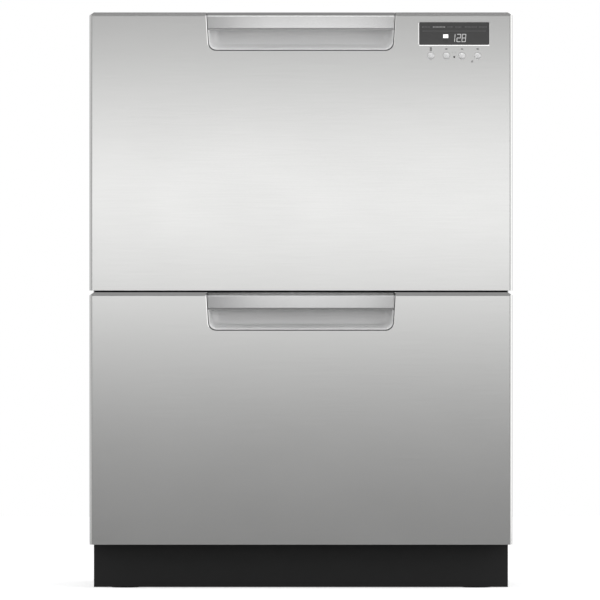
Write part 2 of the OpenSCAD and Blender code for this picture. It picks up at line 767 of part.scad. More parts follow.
module display_window() color("#4b4b4b") upper() {
    translate([display_x, 0, upper_front_h - display_drop]) {
        xz_prism(y_face + display_sink, y_face + skin_t + fit_gap + 0.1)
            round_rect(display_w - 0.2, display_h - 0.2, display_r - 0.1);
        xz_prism(y_face + skin_t + fit_gap, y_face + skin_t + fit_gap + 2)
            round_rect(display_w + 6, display_h + 6, display_r + 2);
    }
}

module control_board() color("darkgreen") upper() {
    board_w = display_w + 12;
    middle = upper_front_h - display_drop;
    row = upper_front_h - button_drop;
    board_low = row - 9;
    board_high = middle + display_h / 2 + 4;
    block([display_x - board_w / 2, board_y, board_low],
        [display_x + board_w / 2, board_y + board_t, board_high]);
    // display module behind the window
    block([display_x - display_w / 2, y_face + skin_t + fit_gap + 2.3, middle - display_h / 2],
        [display_x + display_w / 2, board_y, middle + display_h / 2]);
    // one switch behind each button
    for (i = [0:3])
        block([button_x(i) - 3, switch_y, row - 3], [button_x(i) + 3, board_y, row + 3]);
    // light guide of the status lamp
    rod_y(display_x, row - light_drop, light_r, y_face + 0.2, board_y);
    // pillars that stand the board off the frame's back wall
    for (s = SIDES, z = [board_low + 5, board_high - 5])
        rod_y(display_x + s * (board_w / 2 - 5), z, 3,
            board_y + board_t - 0.1, y_frame - frame_wall - fit_gap);
}

// domed cap, flange behind the skin, plunger on the switch
module button(i) color("whitesmoke") upper()
    translate([button_x(i), y_face, upper_front_h - button_drop]) rotate([-90, 0, 0]) {
        flange_y = skin_t + fit_gap;
        dome_r = (pow(button_r, 2) + pow(button_dome, 2)) / (2 * button_dome);
        intersection() {
            translate([0, 0, dome_r - button_dome]) sphere(dome_r, $fn = 96);
            translate([0, 0, -button_dome - 0.1]) cylinder(r = button_r, h = flange_y + button_dome + 0.2);
        }
        translate([0, 0, flange_y]) cylinder(r = button_r + 1.2, h = button_flange);
        translate([0, 0, flange_y]) cylinder(r = 1.8, h = switch_y - y_face - flange_y - button_travel - 0.3);
    }

// ---- wash tub ----

// floor and wall with a round bottom corner
module basin_profile(r, z0, z1, f) intersection() {
    translate([0, z0]) square([r, z1 - z0]);
    union() {
        translate([0, z0]) square([r - f, z1 - z0]);
        translate([0, z0 + f]) square([r, z1 - z0 - f]);
        translate([r - f, z0 + f]) circle(f);
    }
}

module tub_profile() difference() {
    union() {
        basin_profile(low_r, floor_z, step_z, floor_r);
        polygon([[0, step_z - 1], [low_r, step_z - 1], [low_r, step_z], [tub_r, step_z + 10],
            [tub_r, rim_z - 1], [rim_r, rim_z - 1], [rim_r, rim_z], [0, rim_z]]);
        translate([0, rim_z - rim_t]) square([rim_r, rim_t]);
        translate([rim_r - 2, rim_z - 10]) square([2, 10]);
    }
    basin_profile(low_r - tub_wall, floor_top, step_z, floor_r - tub_wall);
    polygon([[0, step_z - 1], [low_r - tub_wall, step_z - 1], [low_r - tub_wall, step_z + 1.5],
        [tub_r - tub_wall, step_z + 11.5], [tub_r - tub_wall, rim_z + 1], [0, rim_z + 1]]);
}

module tub() color("whitesmoke") difference() {
    union() {
        difference() {
            union() {
                round_tub() tub_profile();
                tub_middle(floor_z, floor_top);
                translate([0, tub_cy, sump_z]) cylinder(r = sump_r + tub_wall, h = floor_top - sump_z);
                translate([0, tub_cy - well_off, sump_z + 4])
                    cylinder(r = well_r + tub_wall, h = floor_top - sump_z - 4);
            }
            translate([0, tub_cy, sump_floor]) cylinder(r = sump_r, h = floor_top);
            translate([0, tub_cy - well_off, sump_floor + 4]) cylinder(r = well_r, h = floor_top);
        }
        // bosses that the front is screwed to
        for (s = SIDES, z = [floor_z + 34, step_z - 22])
            rod_y(s * boss_x, z, boss_r, tub_y0, tub_y0 + rim_w + tub_step + 1);
        // posts that the rack stands on
        for (s = SIDES, y = [rack_y0 + cross_inset, rack_y1 - cross_inset])
            translate([s * (rack_half - 20), y, floor_z + 1])
                cylinder(r1 = post_r + 2, r2 = post_r, h = rack_z - wire_gap - floor_z - 1);
    }
    translate([0, tub_cy, sump_z - 1]) cylinder(r = nose_r + fit_gap, h = tub_wall + 2);
}

// ---- lid ----

module lid() color("gainsboro") {
    rib_top = lid_z + lid_t + lid_rim_h - 3;
    reach_y = corner_y + lid_r - 1.5;
    round_tub() {
        translate([0, lid_z]) square([lid_r, lid_t]);
        translate([lid_r - 2.5, lid_z]) square([2.5, lid_t + lid_rim_h]);
    }
    tub_middle(lid_z, lid_z + lid_t);
    // stiffening ribs on the top of the plate
    for (x = [-corner_x:corner_x / 3:corner_x + 1])
        block([x - 1, tub_cy - reach_y, lid_z], [x + 1, tub_cy + reach_y, rib_top]);
    for (y = [-corner_y:corner_y / 2:corner_y + 1])
        block([-lid_half + 1.5, tub_cy + y - 1, lid_z], [lid_half - 1.5, tub_cy + y + 1, rib_top]);
    // pins that ride in the hangers
    for (m = [0, 1], y = SIDES)
        mirror([m, 0, 0]) rod_x(tub_cy + y * lid_pin_y, lid_pin_z, lid_pin_r, lid_half - 1, lid_pin_reach);
}

// hollow bulb on a foot, all the way round
module lid_seal() color("dimgray") round_tub() difference() {
    union() {
        translate([seal_mid_r, seal_z + seal_h / 2 - 0.3]) circle(seal_h / 2 - 0.3);
        translate([seal_mid_r - 2.2, lid_z - 1]) square([4.4, 1]);
    }
    translate([seal_mid_r, seal_z + seal_h / 2 - 0.3]) circle(seal_h / 2 - 1.3);
}

// four slotted hangers a drawer, each with its lifting motor
module lid_hangers() for (m = [0, 1], y = SIDES) mirror([m, 0, 0]) difference() {
    py = tub_cy + y * lid_pin_y;
    union() {
        block([hanger_in, py - 24, lid_pin_z - lid_travel - 8], [wall_in, py + 24, lid_pin_z + 9]);
        rod_y(wall_in - 6, lid_pin_z + 11, 6, py - 20, py + 20);
    }
    // slot that the lid pin rides in
    rod_x(py, lid_pin_z, lid_pin_r + fit_gap, hanger_in - 1, lid_pin_reach + fit_gap);
    rod_x(py, lid_pin_z - lid_travel, lid_pin_r + fit_gap, hanger_in - 1, lid_pin_reach + fit_gap);
    block([hanger_in - 1, py - lid_pin_r - fit_gap, lid_pin_z - lid_travel],
        [lid_pin_reach + fit_gap, py + lid_pin_r + fit_gap, lid_pin_z]);
}

// ---- wash system ----

module wash_motor() color("#3a3a3c") translate([0, tub_cy, 0]) difference() {
    union() {
        rotate_extrude() polygon([[0, motor_z], [sump_r - 12, motor_z], [sump_r - 6, motor_z + 6],
            [sump_r - 6, motor_z + motor_h - 4], [sump_r, motor_z + motor_h - 4],
            [sump_r, motor_z + motor_h], [nose_r, motor_z + motor_h], [nose_r, nose_top], [0, nose_top]]);
        // drain outlet at the back
        rod_y(0, motor_z + motor_h / 2, motor_h / 2 - 2, sump_r - 12, sump_r + 30);
        // cooling fins
        for (a = [15:30:345])
            rotate(a) block([20, -1, motor_z - 2], [sump_r - 16, 1, motor_z + 1]);
    }
    translate([0, 0, motor_z + 6]) cylinder(r = shaft_r + run_gap, h = motor_h + 10);
    rod_y(0, motor_z + motor_h / 2, motor_h / 2 - 4, sump_r, sump_r + 31);
}

// disc with curved vanes on a long shaft
module impeller() color("ivory") translate([0, tub_cy, 0]) {
    vane_r = impeller_r * 0.62;
    translate([0, 0, motor_z + 7]) cylinder(r = shaft_r, h = impeller_z + impeller_h - motor_z - 8);
    translate([0, 0, impeller_z]) cylinder(r = impeller_r, h = 2);
    translate([0, 0, impeller_z]) cylinder(r = nose_r, h = impeller_h - 2);
    intersection() {
        translate([0, 0, impeller_z]) cylinder(r = impeller_r, h = impeller_h);
        for (a = [0:45:315])
            rotate(a) translate([impeller_r * 0.45, 0, impeller_z + 1]) difference() {
                cylinder(r = vane_r, h = impeller_h - 3);
                translate([0, 0, -1]) cylinder(r = vane_r - 2, h = impeller_h + 2);
                block([-vane_r - 1, -vane_r - 1, -2], [vane_r + 1, 0, impeller_h]);
                block([-vane_r - 1, -1, -2], [-impeller_r * 0.1, vane_r + 1, impeller_h]);
            }
    }
}

module filter_plate() color("gray") translate([0, tub_cy, 0]) difference() {
    union() {
        translate([0, 0, filter_z]) cylinder(r = filter_r, h = filter_t);
        translate([0, 0, filter_z + filter_t - 0.5])
            cylinder(r1 = arm_post_r + 10, r2 = arm_post_r + 3, h = 5);
        translate([0, 0, filter_z]) cylinder(r = arm_post_r, h = arm_post_top - filter_z);
    }
    // water way up into the spray arm
    translate([0, 0, filter_z - 1]) cylinder(r = arm_post_r - 3, h = arm_post_top);
    translate([0, -well_off, filter_z - 1]) cylinder(r = drain_r + fit_gap, h = filter_t + 2);
    // strainer slots, left out either side of the drain filter
    for (a = [24:7.5:339])
        rotate(a - 90) block([sump_r - 16, -1, filter_z - 1], [filter_r - 8, 1, filter_z + filter_t + 1]);
}

// cup that hangs in the filter well, locked by a turn of its grip
module drain_filter() color("dimgray") translate([0, tub_cy - well_off, 0]) {
    cup_bottom = sump_floor + 6;
    cap_z = filter_z + filter_t + fit_gap;
    difference() {
        union() {
            translate([0, 0, cup_bottom]) cylinder(r = drain_r, h = cap_z - cup_bottom + 0.5);
            translate([0, 0, cap_z]) cylinder(r = drain_r + 4, h = drain_cap_h);
        }
        translate([0, 0, cup_bottom + 1.5]) cylinder(r = drain_r - 1.5, h = cap_z - cup_bottom);
        for (a = [0:20:340])
            rotate(a) block([drain_r - 4, -1, cup_bottom + 3], [drain_r + 1, 1, filter_z - 2]);
    }
    block([-drain_r + 2, -2, cap_z + drain_cap_h - 0.5],
        [drain_r - 2, 2, cap_z + drain_cap_h + drain_grip_h]);
}

// outline of one half of the arm: wide at the hub, round at the tip
function arm_outline() =
    let (half = arm_w / 2, tip_r = arm_w * 0.3)
    concat([[0, -half], [arm_hub_r + 4, -half * 0.95], [arm_len * 0.6, -half * 0.7]],
        [for (a = [-75:15:75]) [arm_len - tip_r + tip_r * cos(a), tip_r * sin(a)]],
        [[arm_len * 0.55, half * 0.6], [arm_hub_r + 4, half * 0.95], [0, half]]);

module spray_arm() color("lightsteelblue") translate([0, tub_cy, 0]) difference() {
    union() {
        for (m = [0, 180])
            rotate(m) translate([0, 0, arm_z]) linear_extrude(arm_h - 3) polygon(arm_outline());
        translate([0, 0, arm_z - 3]) cylinder(r1 = arm_hub_r - 6, r2 = arm_hub_r, h = 4);
        translate([0, 0, arm_z]) cylinder(r = arm_hub_r, h = arm_h);
        // raised back of the arm, then the nozzles on it
        for (m = [0, 180])
            rotate(m) {
                block([0, -6, arm_z + 1], [arm_len - 22, 6, arm_z + arm_h - 1.5]);
                for (x = [60:32:arm_len - 20])
                    translate([x, 0, arm_z + 1]) cylinder(r1 = 6, r2 = 4, h = arm_h - 1);
            }
    }
    // bearing on the filter plate's post, closed at the top
    translate([0, 0, arm_z - 4]) cylinder(r = arm_post_r + run_gap, h = arm_h + 2.5);
    for (m = [0, 180], x = [60:32:arm_len - 20])
        rotate(m) translate([x, 0, arm_z + arm_h - 3]) rotate([x / 4, 0, 30])
            block([-3, -0.6, 0], [3, 0.6, 5]);
}

// ---- dispenser ----

module dispenser() color("lightgray") difference() {
    ears = [-cup_w / 2 - 4, cup_w / 2 + 4];
    cap_z = disp_z + disp_h - 20;
    union() {
        translate([0, 0, disp_z + disp_h / 2]) xz_prism(disp_y, disp_y + disp_d)
            round_rect(disp_w, disp_h, 12);
        // ears that hold the flap's pin
        for (x = ears)
            block([x - 2, disp_y + disp_d - 1, cup_z - 8], [x + 2, hinge_y + 3, cup_z]);
        // cap of the rinse aid tank
        rod_y(0, cap_z, 13, disp_y + disp_d - 1, disp_y + disp_d + 4);
        block([-10, disp_y + disp_d, cap_z - 1.5], [10, disp_y + disp_d + 7, cap_z + 1.5]);
    }
    // detergent cup
    block([-cup_w / 2, disp_y + 2, cup_z], [cup_w / 2, disp_y + disp_d + 1, cup_z + cup_h]);
    // round side of the latch pocket
    rod_y(cup_w / 2 + 22, cup_z + cup_h / 2, 8, disp_y + disp_d - 3, disp_y + disp_d + 1);
    for (x = ears)
        rod_x(hinge_y, cup_z - 4, hinge_pin_r + run_gap, x - 3, x + 3);
}

module dispenser_flap() color("white") {
    flap_y = disp_y + disp_d + 0.3;
    block([-cup_w / 2 - 1, flap_y, cup_z - 1], [cup_w / 2 + 1, flap_y + flap_t, cup_z + cup_h + 2]);
    // hinge barrel and its pin
    rod_x(hinge_y, cup_z - 4, hinge_pin_r, -cup_w / 2 - 6, cup_w / 2 + 6);
    rod_x(hinge_y, cup_z - 4, hinge_pin_r + 0.3, -cup_w / 2 - 1, cup_w / 2 + 1);
    block([-cup_w / 2 - 1, hinge_y - 1.2, cup_z - 4], [cup_w / 2 + 1, flap_y + flap_t, cup_z]);
    // thumb ridge
    block([-10, flap_y + flap_t - 1, cup_z + cup_h - 4], [10, flap_y + flap_t + 2, cup_z + cup_h - 1]);
}

// ---- rack ----

// straight wire between two points
module wire(a, b, d) {
    v = b - a;
    translate(a) rotate([0, acos(v[2] / norm(v)), atan2(v[1], v[0])]) cylinder(h = norm(v), d = d, $fn = 16);
}

// a quarter bend of wire in the X-Y plane, between two runs
module elbow(r, d) rotate_extrude(angle = 90) translate([r, 0]) circle(d = d, $fn = 16);

// a wire bent up at both ends, in the X-Z plane, half as wide as half: three runs, two bends
module bent_wire(half, z0, z1, d) {
    run = half - bend_r - bend_gap;
    wire([-run, 0, z0], [run, 0, z0], d);
    for (m = [0, 1])
        mirror([m, 0, 0]) {
            wire([half, 0, z0 + bend_r + bend_gap], [half, 0, z1], d);
            translate([half - bend_r, 0, z0 + bend_r]) rotate([90, 0, 0]) rotate(-90) elbow(bend_r, d);
        }
}

// closed loop of wire: four runs, four bends
module wire_loop(half, y0, y1, z, r, d) translate([0, (y0 + y1) / 2, z]) {
    ly = (y1 - y0) / 2;
    for (q = [[1, 1, 0], [-1, 1, 90], [-1, -1, 180], [1, -1, 270]])
        translate([q[0] * (half - r), q[1] * (ly - r), 0]) rotate(q[2]) elbow(r, d);
    for (s = SIDES) {
        wire([s * half, -ly + r + bend_gap, 0], [s * half, ly - r - bend_gap, 0], d);
        wire([-half + r + bend_gap, s * ly, 0], [half - r - bend_gap, s * ly, 0], d);
    }
}

module tine(x, y) translate([x, y, long_z + wire_d / 2 + wire_gap]) {
    cylinder(d = wire_d, h = tine_h - 2, $fn = 16);
    translate([0, 0, tine_h - 2]) cylinder(d1 = wire_d, d2 = wire_d - 2, h = 2, $fn = 16);
}

module rack(fixed_rows) color("slategray") {
    rack_cy = (rack_y0 + rack_y1) / 2;
    for (y = [rack_y0 + cross_inset:cross_pitch:rack_y1 - cross_inset + 1])
        translate([0, y, 0]) bent_wire(rack_half, cross_z, wire_top, wire_d);
    middle = (long_wires - 1) / 2;
    for (i = [-middle:middle])
        translate([i * long_pitch, rack_cy, 0]) rotate(90)
            bent_wire((rack_y1 - rack_y0) / 2, long_z, wire_top, wire_d);
    wire_loop(rack_half, rack_y0, rack_y1, rack_rim_z, bend_r + 2.5 * wire_d, rim_wire_d);
    for (x = fixed_rows, y = [tine_y0:tine_pitch:tine_y1])
        tine(x * long_pitch, y);
}

// moulded clip on a lengthways wire, with the bore of the folding row
module tine_clip(y) color("dimgray") difference() {
    block([tine_x - 5, y - 4, long_z - 1.5], [tine_x + 5, y + 4, fold_z + 3.6]);
    rod_y(tine_x, long_z, wire_d / 2 + clip_gap, y - 5, y + 5);
    block([tine_x - wire_d / 2 - clip_gap, y - 5, long_z - 5],
        [tine_x + wire_d / 2 + clip_gap, y + 5, long_z]);
    rod_y(tine_x, fold_z, fold_wire_d / 2 + run_gap, y - 5, y + 5);
}

module tine_clips() for (y = [tine_y0 - 3.5 * wire_d, tine_y1 + 2 * wire_d])
    tine_clip(y);

module lower_rack_set() {
    rack([-2, -1, 0]);
    tine_clips();
}

module folding_tines() color("slategray") {
    rod_y(tine_x, fold_z, fold_wire_d / 2, tine_y0 - rod_over, tine_y1 + 3.5 * wire_d);
    for (y = [tine_y0:tine_pitch:tine_y1])
        wire([tine_x, y, fold_z], [tine_x, y, fold_z + tine_h - 4], fold_wire_d);
}

// moulded clip on an upright wire, with the bore of the shelf's hinge wire
module shelf_clip(i) color("dimgray") difference() {
    y = rack_y0 + cross_inset + i * cross_pitch;
    block([-rack_half - 4, y - 5, shelf_z - 8], [shelf_x + 4, y + 5, shelf_z + 5]);
    translate([-rack_half, y, shelf_z - 9]) cylinder(r = wire_d / 2 + clip_gap, h = 5 * wire_d);
    rod_y(shelf_x, shelf_z, fold_wire_d / 2 + run_gap, y - 6, y + 6);
}

module upper_rack_set() {
    rack([0, 1]);
    for (i = [1, cross_wires - 2])
        shelf_clip(i);
}

// wire shelf for cups: hinge wire, outer edge and bars
module cup_shelf() color("slategray") {
    y0 = rack_y0 + cross_inset + cross_pitch - rod_over;
    y1 = rack_y0 + cross_inset + (cross_wires - 2) * cross_pitch + rod_over;
    bars = floor((y1 - y0 - 60) / 36);
    rod_y(shelf_x, shelf_z, fold_wire_d / 2, y0, y1);
    rod_y(shelf_x + shelf_reach, shelf_z, fold_wire_d / 2, y0 + 30, y1 - 30);
    for (i = [0:bars])
        rod_x(y0 + 30 + i * (y1 - y0 - 60) / bars, shelf_z, fold_wire_d / 2, shelf_x, shelf_x + shelf_reach);
}

// ---- cutlery basket ----

module cutlery_basket() color("#5f6468") {
    x1 = basket_x + basket_w;
    y1 = basket_y + basket_len;
    z1 = basket_z + basket_h;
    cell = (basket_len - basket_wall) / 2;
    difference() {
        translate([basket_x + basket_w / 2, basket_y + basket_len / 2, basket_z])
            linear_extrude(basket_h) round_rect(basket_w, basket_len, 8);
        for (y = [basket_y + basket_wall / 2 + cell / 2:cell:y1])
            translate([basket_x + basket_w / 2, y, basket_z + basket_wall])
                linear_extrude(basket_h) round_rect(basket_w - 2 * basket_wall, cell - basket_wall, 6);
        // drain slots in the long walls, end walls and floor
        for (y = [basket_y + 14:9:y1 - 14], z = [basket_z + 10, basket_z + 54])
            block([basket_x - 1, y, z], [x1 + 1, y + 4, z + 38]);
        for (x = [basket_x + 13:9:x1 - 15], z = [basket_z + 10, basket_z + 54])
            block([x, basket_y - 1, z], [x + 4, y1 + 1, z + 38]);
        for (y = [basket_y + 14:9:y1 - 14])
            block([basket_x + 12, y, basket_z - 1], [x1 - 12, y + 4, basket_z + basket_wall + 1]);
    }
    // carrying arch over the middle wall
    xz_prism(basket_y + basket_len / 2 - 4, basket_y + basket_len / 2 + 4) difference() {
        translate([basket_x + basket_w / 2, z1 + arch_h / 2 - 6]) round_rect(basket_w, arch_h + 12, 14);
        translate([basket_x + basket_w / 2, z1 + arch_h / 2 - 6]) round_rect(basket_w - 10, arch_h + 2, 10);
    }
}

base_tray();
side_panel(-1);  // side_panel_left
side_panel(1);  // side_panel_right
top_panel();
rear_panel();
mid_rail();
toe_kick();
union() { upper() outer_rail_pair(); lower() outer_rail_pair(); }  // outer_rails
union() { upper() lid_hangers(); lower() lid_hangers(); }  // lid_actuators
inlet_valve();
drain_spigot();
mains_gland();
foot(-1, foot_y0);  // foot_front_left
foot(1, foot_y0);  // foot_front_right
foot(-1, foot_y1);  // foot_rear_left
foot(1, foot_y1);  // foot_rear_right

upper() front_skin(upper_front_h, true);  // upper_front_skin
upper() front_frame(upper_front_h, true);  // upper_front_frame
upper() handle_bar(upper_front_h);  // upper_handle_bar
upper() handle_scoop(upper_front_h);  // upper_handle_scoop
upper() tub();  // upper_tub
upper() inner_rails();  // upper_inner_rails
upper() middle_rails();  // upper_middle_rails
upper() lid();  // upper_lid
upper() lid_seal();  // upper_lid_seal
upper() spray_arm();  // upper_spray_arm
upper() filter_plate();  // upper_filter_plate
upper() drain_filter();  // upper_drain_filter
upper() wash_motor();  // upper_wash_motor
upper() impeller();  // upper_impeller
upper() dispenser();  // upper_dispenser
upper() dispenser_flap();  // upper_dispenser_flap
upper() upper_rack_set();  // upper_rack
upper() cup_shelf();  // upper_cup_shelf
upper() cutlery_basket();  // upper_cutlery_basket

lower() front_skin(lower_front_h, false);  // lower_front_skin
lower() front_frame(lower_front_h, false);  // lower_front_frame
lower() handle_bar(lower_front_h);  // lower_handle_bar
lower() handle_scoop(lower_front_h);  // lower_handle_scoop
lower() tub();  // lower_tub
lower() inner_rails();  // lower_inner_rails
lower() middle_rails();  // lower_middle_rails
lower() lid();  // lower_lid
lower() lid_seal();  // lower_lid_seal
lower() spray_arm();  // lower_spray_arm
lower() filter_plate();  // lower_filter_plate
lower() drain_filter();  // lower_drain_filter
lower() wash_motor();  // lower_wash_motor
lower() impeller();  // lower_impeller
lower() dispenser();  // lower_dispenser
lower() dispenser_flap();  // lower_dispenser_flap
lower() lower_rack_set();  // lower_rack
lower() folding_tines();  // lower_folding_tines
lower() cutlery_basket();  // lower_cutlery_basket

display_window();
control_board();
button(0);  // button_1
button(1);  // button_2
button(2);  // button_3
button(3);  // button_4
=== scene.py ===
"""Looks of a built-in dishwasher with two stacked wash drawers.

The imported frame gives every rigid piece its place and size. This script models the pieces that are
seen close up again with rounded edges, dresses every surface with a procedural finish, and sets the
camera, the floor and the lights. X is to the right, the fronts face -Y and Z is up, in metres.
"""

import json
import logging
import math
from contextlib import contextmanager
from dataclasses import dataclass
from enum import Enum
from typing import Callable, ClassVar, Iterable, Iterator, Sequence

import bmesh
import bpy
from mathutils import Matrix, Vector

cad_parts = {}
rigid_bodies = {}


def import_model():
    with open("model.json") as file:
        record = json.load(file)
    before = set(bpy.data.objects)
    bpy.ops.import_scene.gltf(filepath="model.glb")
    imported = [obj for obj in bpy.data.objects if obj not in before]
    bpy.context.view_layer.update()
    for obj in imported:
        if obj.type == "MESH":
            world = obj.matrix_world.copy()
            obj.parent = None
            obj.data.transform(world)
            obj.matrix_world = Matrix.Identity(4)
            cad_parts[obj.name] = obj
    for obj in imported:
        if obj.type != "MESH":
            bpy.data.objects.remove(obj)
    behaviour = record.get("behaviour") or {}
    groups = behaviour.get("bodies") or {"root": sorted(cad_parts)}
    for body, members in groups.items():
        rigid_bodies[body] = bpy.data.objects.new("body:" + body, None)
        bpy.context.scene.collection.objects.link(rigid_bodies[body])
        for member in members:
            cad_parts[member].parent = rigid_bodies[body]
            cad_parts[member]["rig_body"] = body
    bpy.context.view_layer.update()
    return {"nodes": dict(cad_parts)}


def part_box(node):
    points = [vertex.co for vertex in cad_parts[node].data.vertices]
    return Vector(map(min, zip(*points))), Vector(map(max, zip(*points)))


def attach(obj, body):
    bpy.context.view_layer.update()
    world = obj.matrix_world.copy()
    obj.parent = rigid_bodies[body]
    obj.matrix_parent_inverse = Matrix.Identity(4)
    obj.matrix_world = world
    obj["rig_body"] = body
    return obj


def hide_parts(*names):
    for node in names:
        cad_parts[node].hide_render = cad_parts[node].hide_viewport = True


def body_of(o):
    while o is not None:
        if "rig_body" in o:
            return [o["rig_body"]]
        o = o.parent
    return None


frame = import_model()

MM = 0.001
WHITE = "#FFFFFF"
# Most values of a noise lie in this span.
NOISE_SPAN = {"From Min": 0.3, "From Max": 0.7}
# What lies in a plane is found within this distance of it, and points this close become one.
NEAR = 0.01 * MM
# A direction whose share along an axis is over ALONG runs along it, and under ACROSS across it.
ALONG = 0.9
ACROSS = 0.1
# Radius of the fine edges of the steel, the window and the pockets.
FINE_EDGE = 0.3 * MM
log = logging.getLogger("dishwasher")
Place = tuple[float, float, float]
Piece = bpy.types.Object
Tree = bpy.types.NodeTree
Node = bpy.types.Node
Socket = bpy.types.NodeSocket
Test = Callable[[Vector, Vector], bool]


class Drawer(Enum):
    """The two drawers, named as the frame's nodes and bodies are."""

    UPPER = "upper"
    LOWER = "lower"

    def node(self, part: str) -> str:
        """Returns the name of this drawer's own node of that part."""
        return f"{self.value}_{part}"


class Select(Enum):
    """What an edit works on."""

    EDGES = "EDGE"
    FACES = "FACE"


# ---------------------------------------------------------------- nodes of a material


def linear(hex_colour: str) -> tuple[float, float, float, float]:
    """Turns an sRGB hex value into the linear colour that a shader takes.

    Args:
        hex_colour: The colour as #RRGGBB.

    Returns:
        Red, green, blue and alpha.
    """
    parts = [int(hex_colour[i : i + 2], 16) / 255 for i in (1, 3, 5)]
    red, green, blue = (c / 12.92 if c <= 0.04045 else ((c + 0.055) / 1.055) ** 2.4 for c in parts)
    return red, green, blue, 1.0


def add_node(tree: Tree, kind: str, inputs: dict | None = None, **settings: object) -> Node:
    """Adds a node, sets it and links it.

    Args:
        tree: The node tree that it goes into.
        kind: The node's type.
        inputs: Input name or number to the value it holds or the socket it is linked from.
        **settings: The node's own properties.

    Returns:
        The new node.
    """
    node = tree.nodes.new(kind)
    for name, value in settings.items():
        setattr(node, name, value)
    for name, value in (inputs or {}).items():
        if isinstance(value, Socket):
            tree.links.new(value, node.inputs[name])
        else:
            node.inputs[name].default_value = value
    return node


def grain(tree: Tree, size_mm: Place, detail: float = 3.0) -> Socket:
    """Adds noise on the object's own coordinates.

    Args:
        tree: The node tree that it goes into.
        size_mm: Size of its grains along X, Y and Z.
        detail: How much finer noise lies over it.

    Returns:
        The noise, from 0 to 1.
    """
    where = add_node(tree, "ShaderNodeTexCoord").outputs["Object"]
    scale = [1 / (mm * MM) for mm in size_mm]
    scaled = add_node(tree, "ShaderNodeMapping", {"Vector": where, "Scale": scale}).outputs[0]
    noise = {"Vector": scaled, "Scale": 1.0, "Detail": detail}
    return add_node(tree, "ShaderNodeTexNoise", noise).outputs["Fac"]


def cells(tree: Tree, size_mm: float, scatter: float = 1.0, feature: str = "F1") -> Node:
    """Adds a pattern of cells on the object's own coordinates.

    Args:
        tree: The node tree that it goes into.
        size_mm: Width of a cell.
        scatter: 1 for cells at random, 0 for cells in rows.
        feature: What the pattern measures.

    Returns:
        The pattern's node.
    """
    where = add_node(tree, "ShaderNodeTexCoord").outputs["Object"]
    inputs = {"Vector": where, "Scale": 1 / (size_mm * MM), "Randomness": scatter}
    return add_node(tree, "ShaderNodeTexVoronoi", inputs, feature=feature)


# ---------------------------------------------------------------- finishes


@dataclass(frozen=True)
class Finish:
    """A surface, by the name of what it is made of.

    Attributes:
        name: The material's name.
        slot: The record's slot that it stands for. It is not used.
        colour: Its colour as #RRGGBB.
        worn: The colour that its variation runs to.
        roughness: Roughness of the clean surface.
        nature: Other values of the shader that every surface of this kind has.
    """

    name: str
    slot: str
    colour: str
    worn: str
    roughness: float
    nature: ClassVar[dict[str, float]] = {}

    def settings(self) -> dict:
        """Returns the shader's plain values."""
        return {"Base Color": linear(self.colour), "Roughness": self.roughness, **self.nature}

    def dress(self, tree: Tree, shader: Node) -> None:
        """Adds the pattern of the surface to the shader.

        Args:
            tree: The material's node tree.
            shader: Its shader.
        """
        raise NotImplementedError

    def material(self) -> bpy.types.Material:
        """Returns the material, which is made on its first use."""
        made = bpy.data.materials.get(self.name)
        if made:
            return made
        made = bpy.data.materials.new(self.name)
        made.use_nodes = True
        tree = made.node_tree
        tree.nodes.clear()
        shader = add_node(tree, "ShaderNodeBsdfPrincipled", self.settings())
        add_node(tree, "ShaderNodeOutputMaterial", {"Surface": shader.outputs[0]})
        self.dress(tree, shader)
        return made

    def wire(
        self,
        shader: Node,
        tone: Socket,
        gloss: tuple[Socket, float, float] | None = None,
        relief: tuple[Socket, float] | None = None,
        ends: tuple[str, str] | None = None,
    ) -> None:
        """Links patterns to the shader's colour, roughness and normal.

        Args:
            shader: The shader.
            tone: Runs the colour from one end to the other.
            gloss: A noise, and how far it takes the roughness down and up.
            relief: A height, and its depth in mm.
            ends: The two ends of the colour, where they aren't the clean and the worn one.
        """
        tree = shader.id_data
        first, last = ends or (self.colour, self.worn)
        colours = {"Factor": tone, 6: linear(first), 7: linear(last)}
        mixed = add_node(tree, "ShaderNodeMix", colours, data_type="RGBA")
        found = {"Base Color": mixed.outputs[2]}
        if gloss:
            noise, less, more = gloss
            reach = {"To Min": self.roughness - less, "To Max": self.roughness + more}
            span = add_node(tree, "ShaderNodeMapRange", {"Value": noise, **NOISE_SPAN, **reach})
            found["Roughness"] = span.outputs["Result"]
        if relief:
            raised = {"Height": relief[0], "Distance": relief[1] * MM}
            found["Normal"] = add_node(tree, "ShaderNodeBump", raised).outputs[0]
        for name, socket in found.items():
            tree.links.new(socket, shader.inputs[name])


@dataclass(frozen=True)
class BrushedStainless(Finish):
    """Stainless sheet, brushed from side to side: light smears up and down across the grain."""

    nature = {"Metallic": 1.0, "Anisotropic": 0.88, "Anisotropic Rotation": 0.25}

    def dress(self, tree: Tree, shader: Node) -> None:
        """Adds brush lines. Real ones are 0.05 mm wide, so they are drawn 0.8 mm wide to show."""
        lines = grain(tree, (60, 60, 0.8), 4.0)
        clouds = grain(tree, (140, 140, 90), 2.0)
        contrast = add_node(tree, "ShaderNodeMapRange", {"Value": lines, **NOISE_SPAN})
        tangent = add_node(tree, "ShaderNodeTangent", direction_type="RADIAL", axis="Z")
        tree.links.new(tangent.outputs[0], shader.inputs["Tangent"])
        self.wire(shader, contrast.outputs["Result"], (clouds, 0.004, 0.004), (lines, 0.0003))


@dataclass(frozen=True)
class SatinMetal(Finish):
    """Blasted and anodised aluminium, or satin plating: an even grey with a soft gloss."""

    nature = {"Metallic": 1.0}

    def dress(self, tree: Tree, shader: Node) -> None:
        """Adds the blasted grain, 0.35 mm, and a faint change of tone over the length."""
        fine = grain(tree, (0.35, 0.35, 0.35))
        self.wire(shader, grain(tree, (50, 50, 50), 1.0), (fine, 0.03, 0.03), (fine, 0.004))


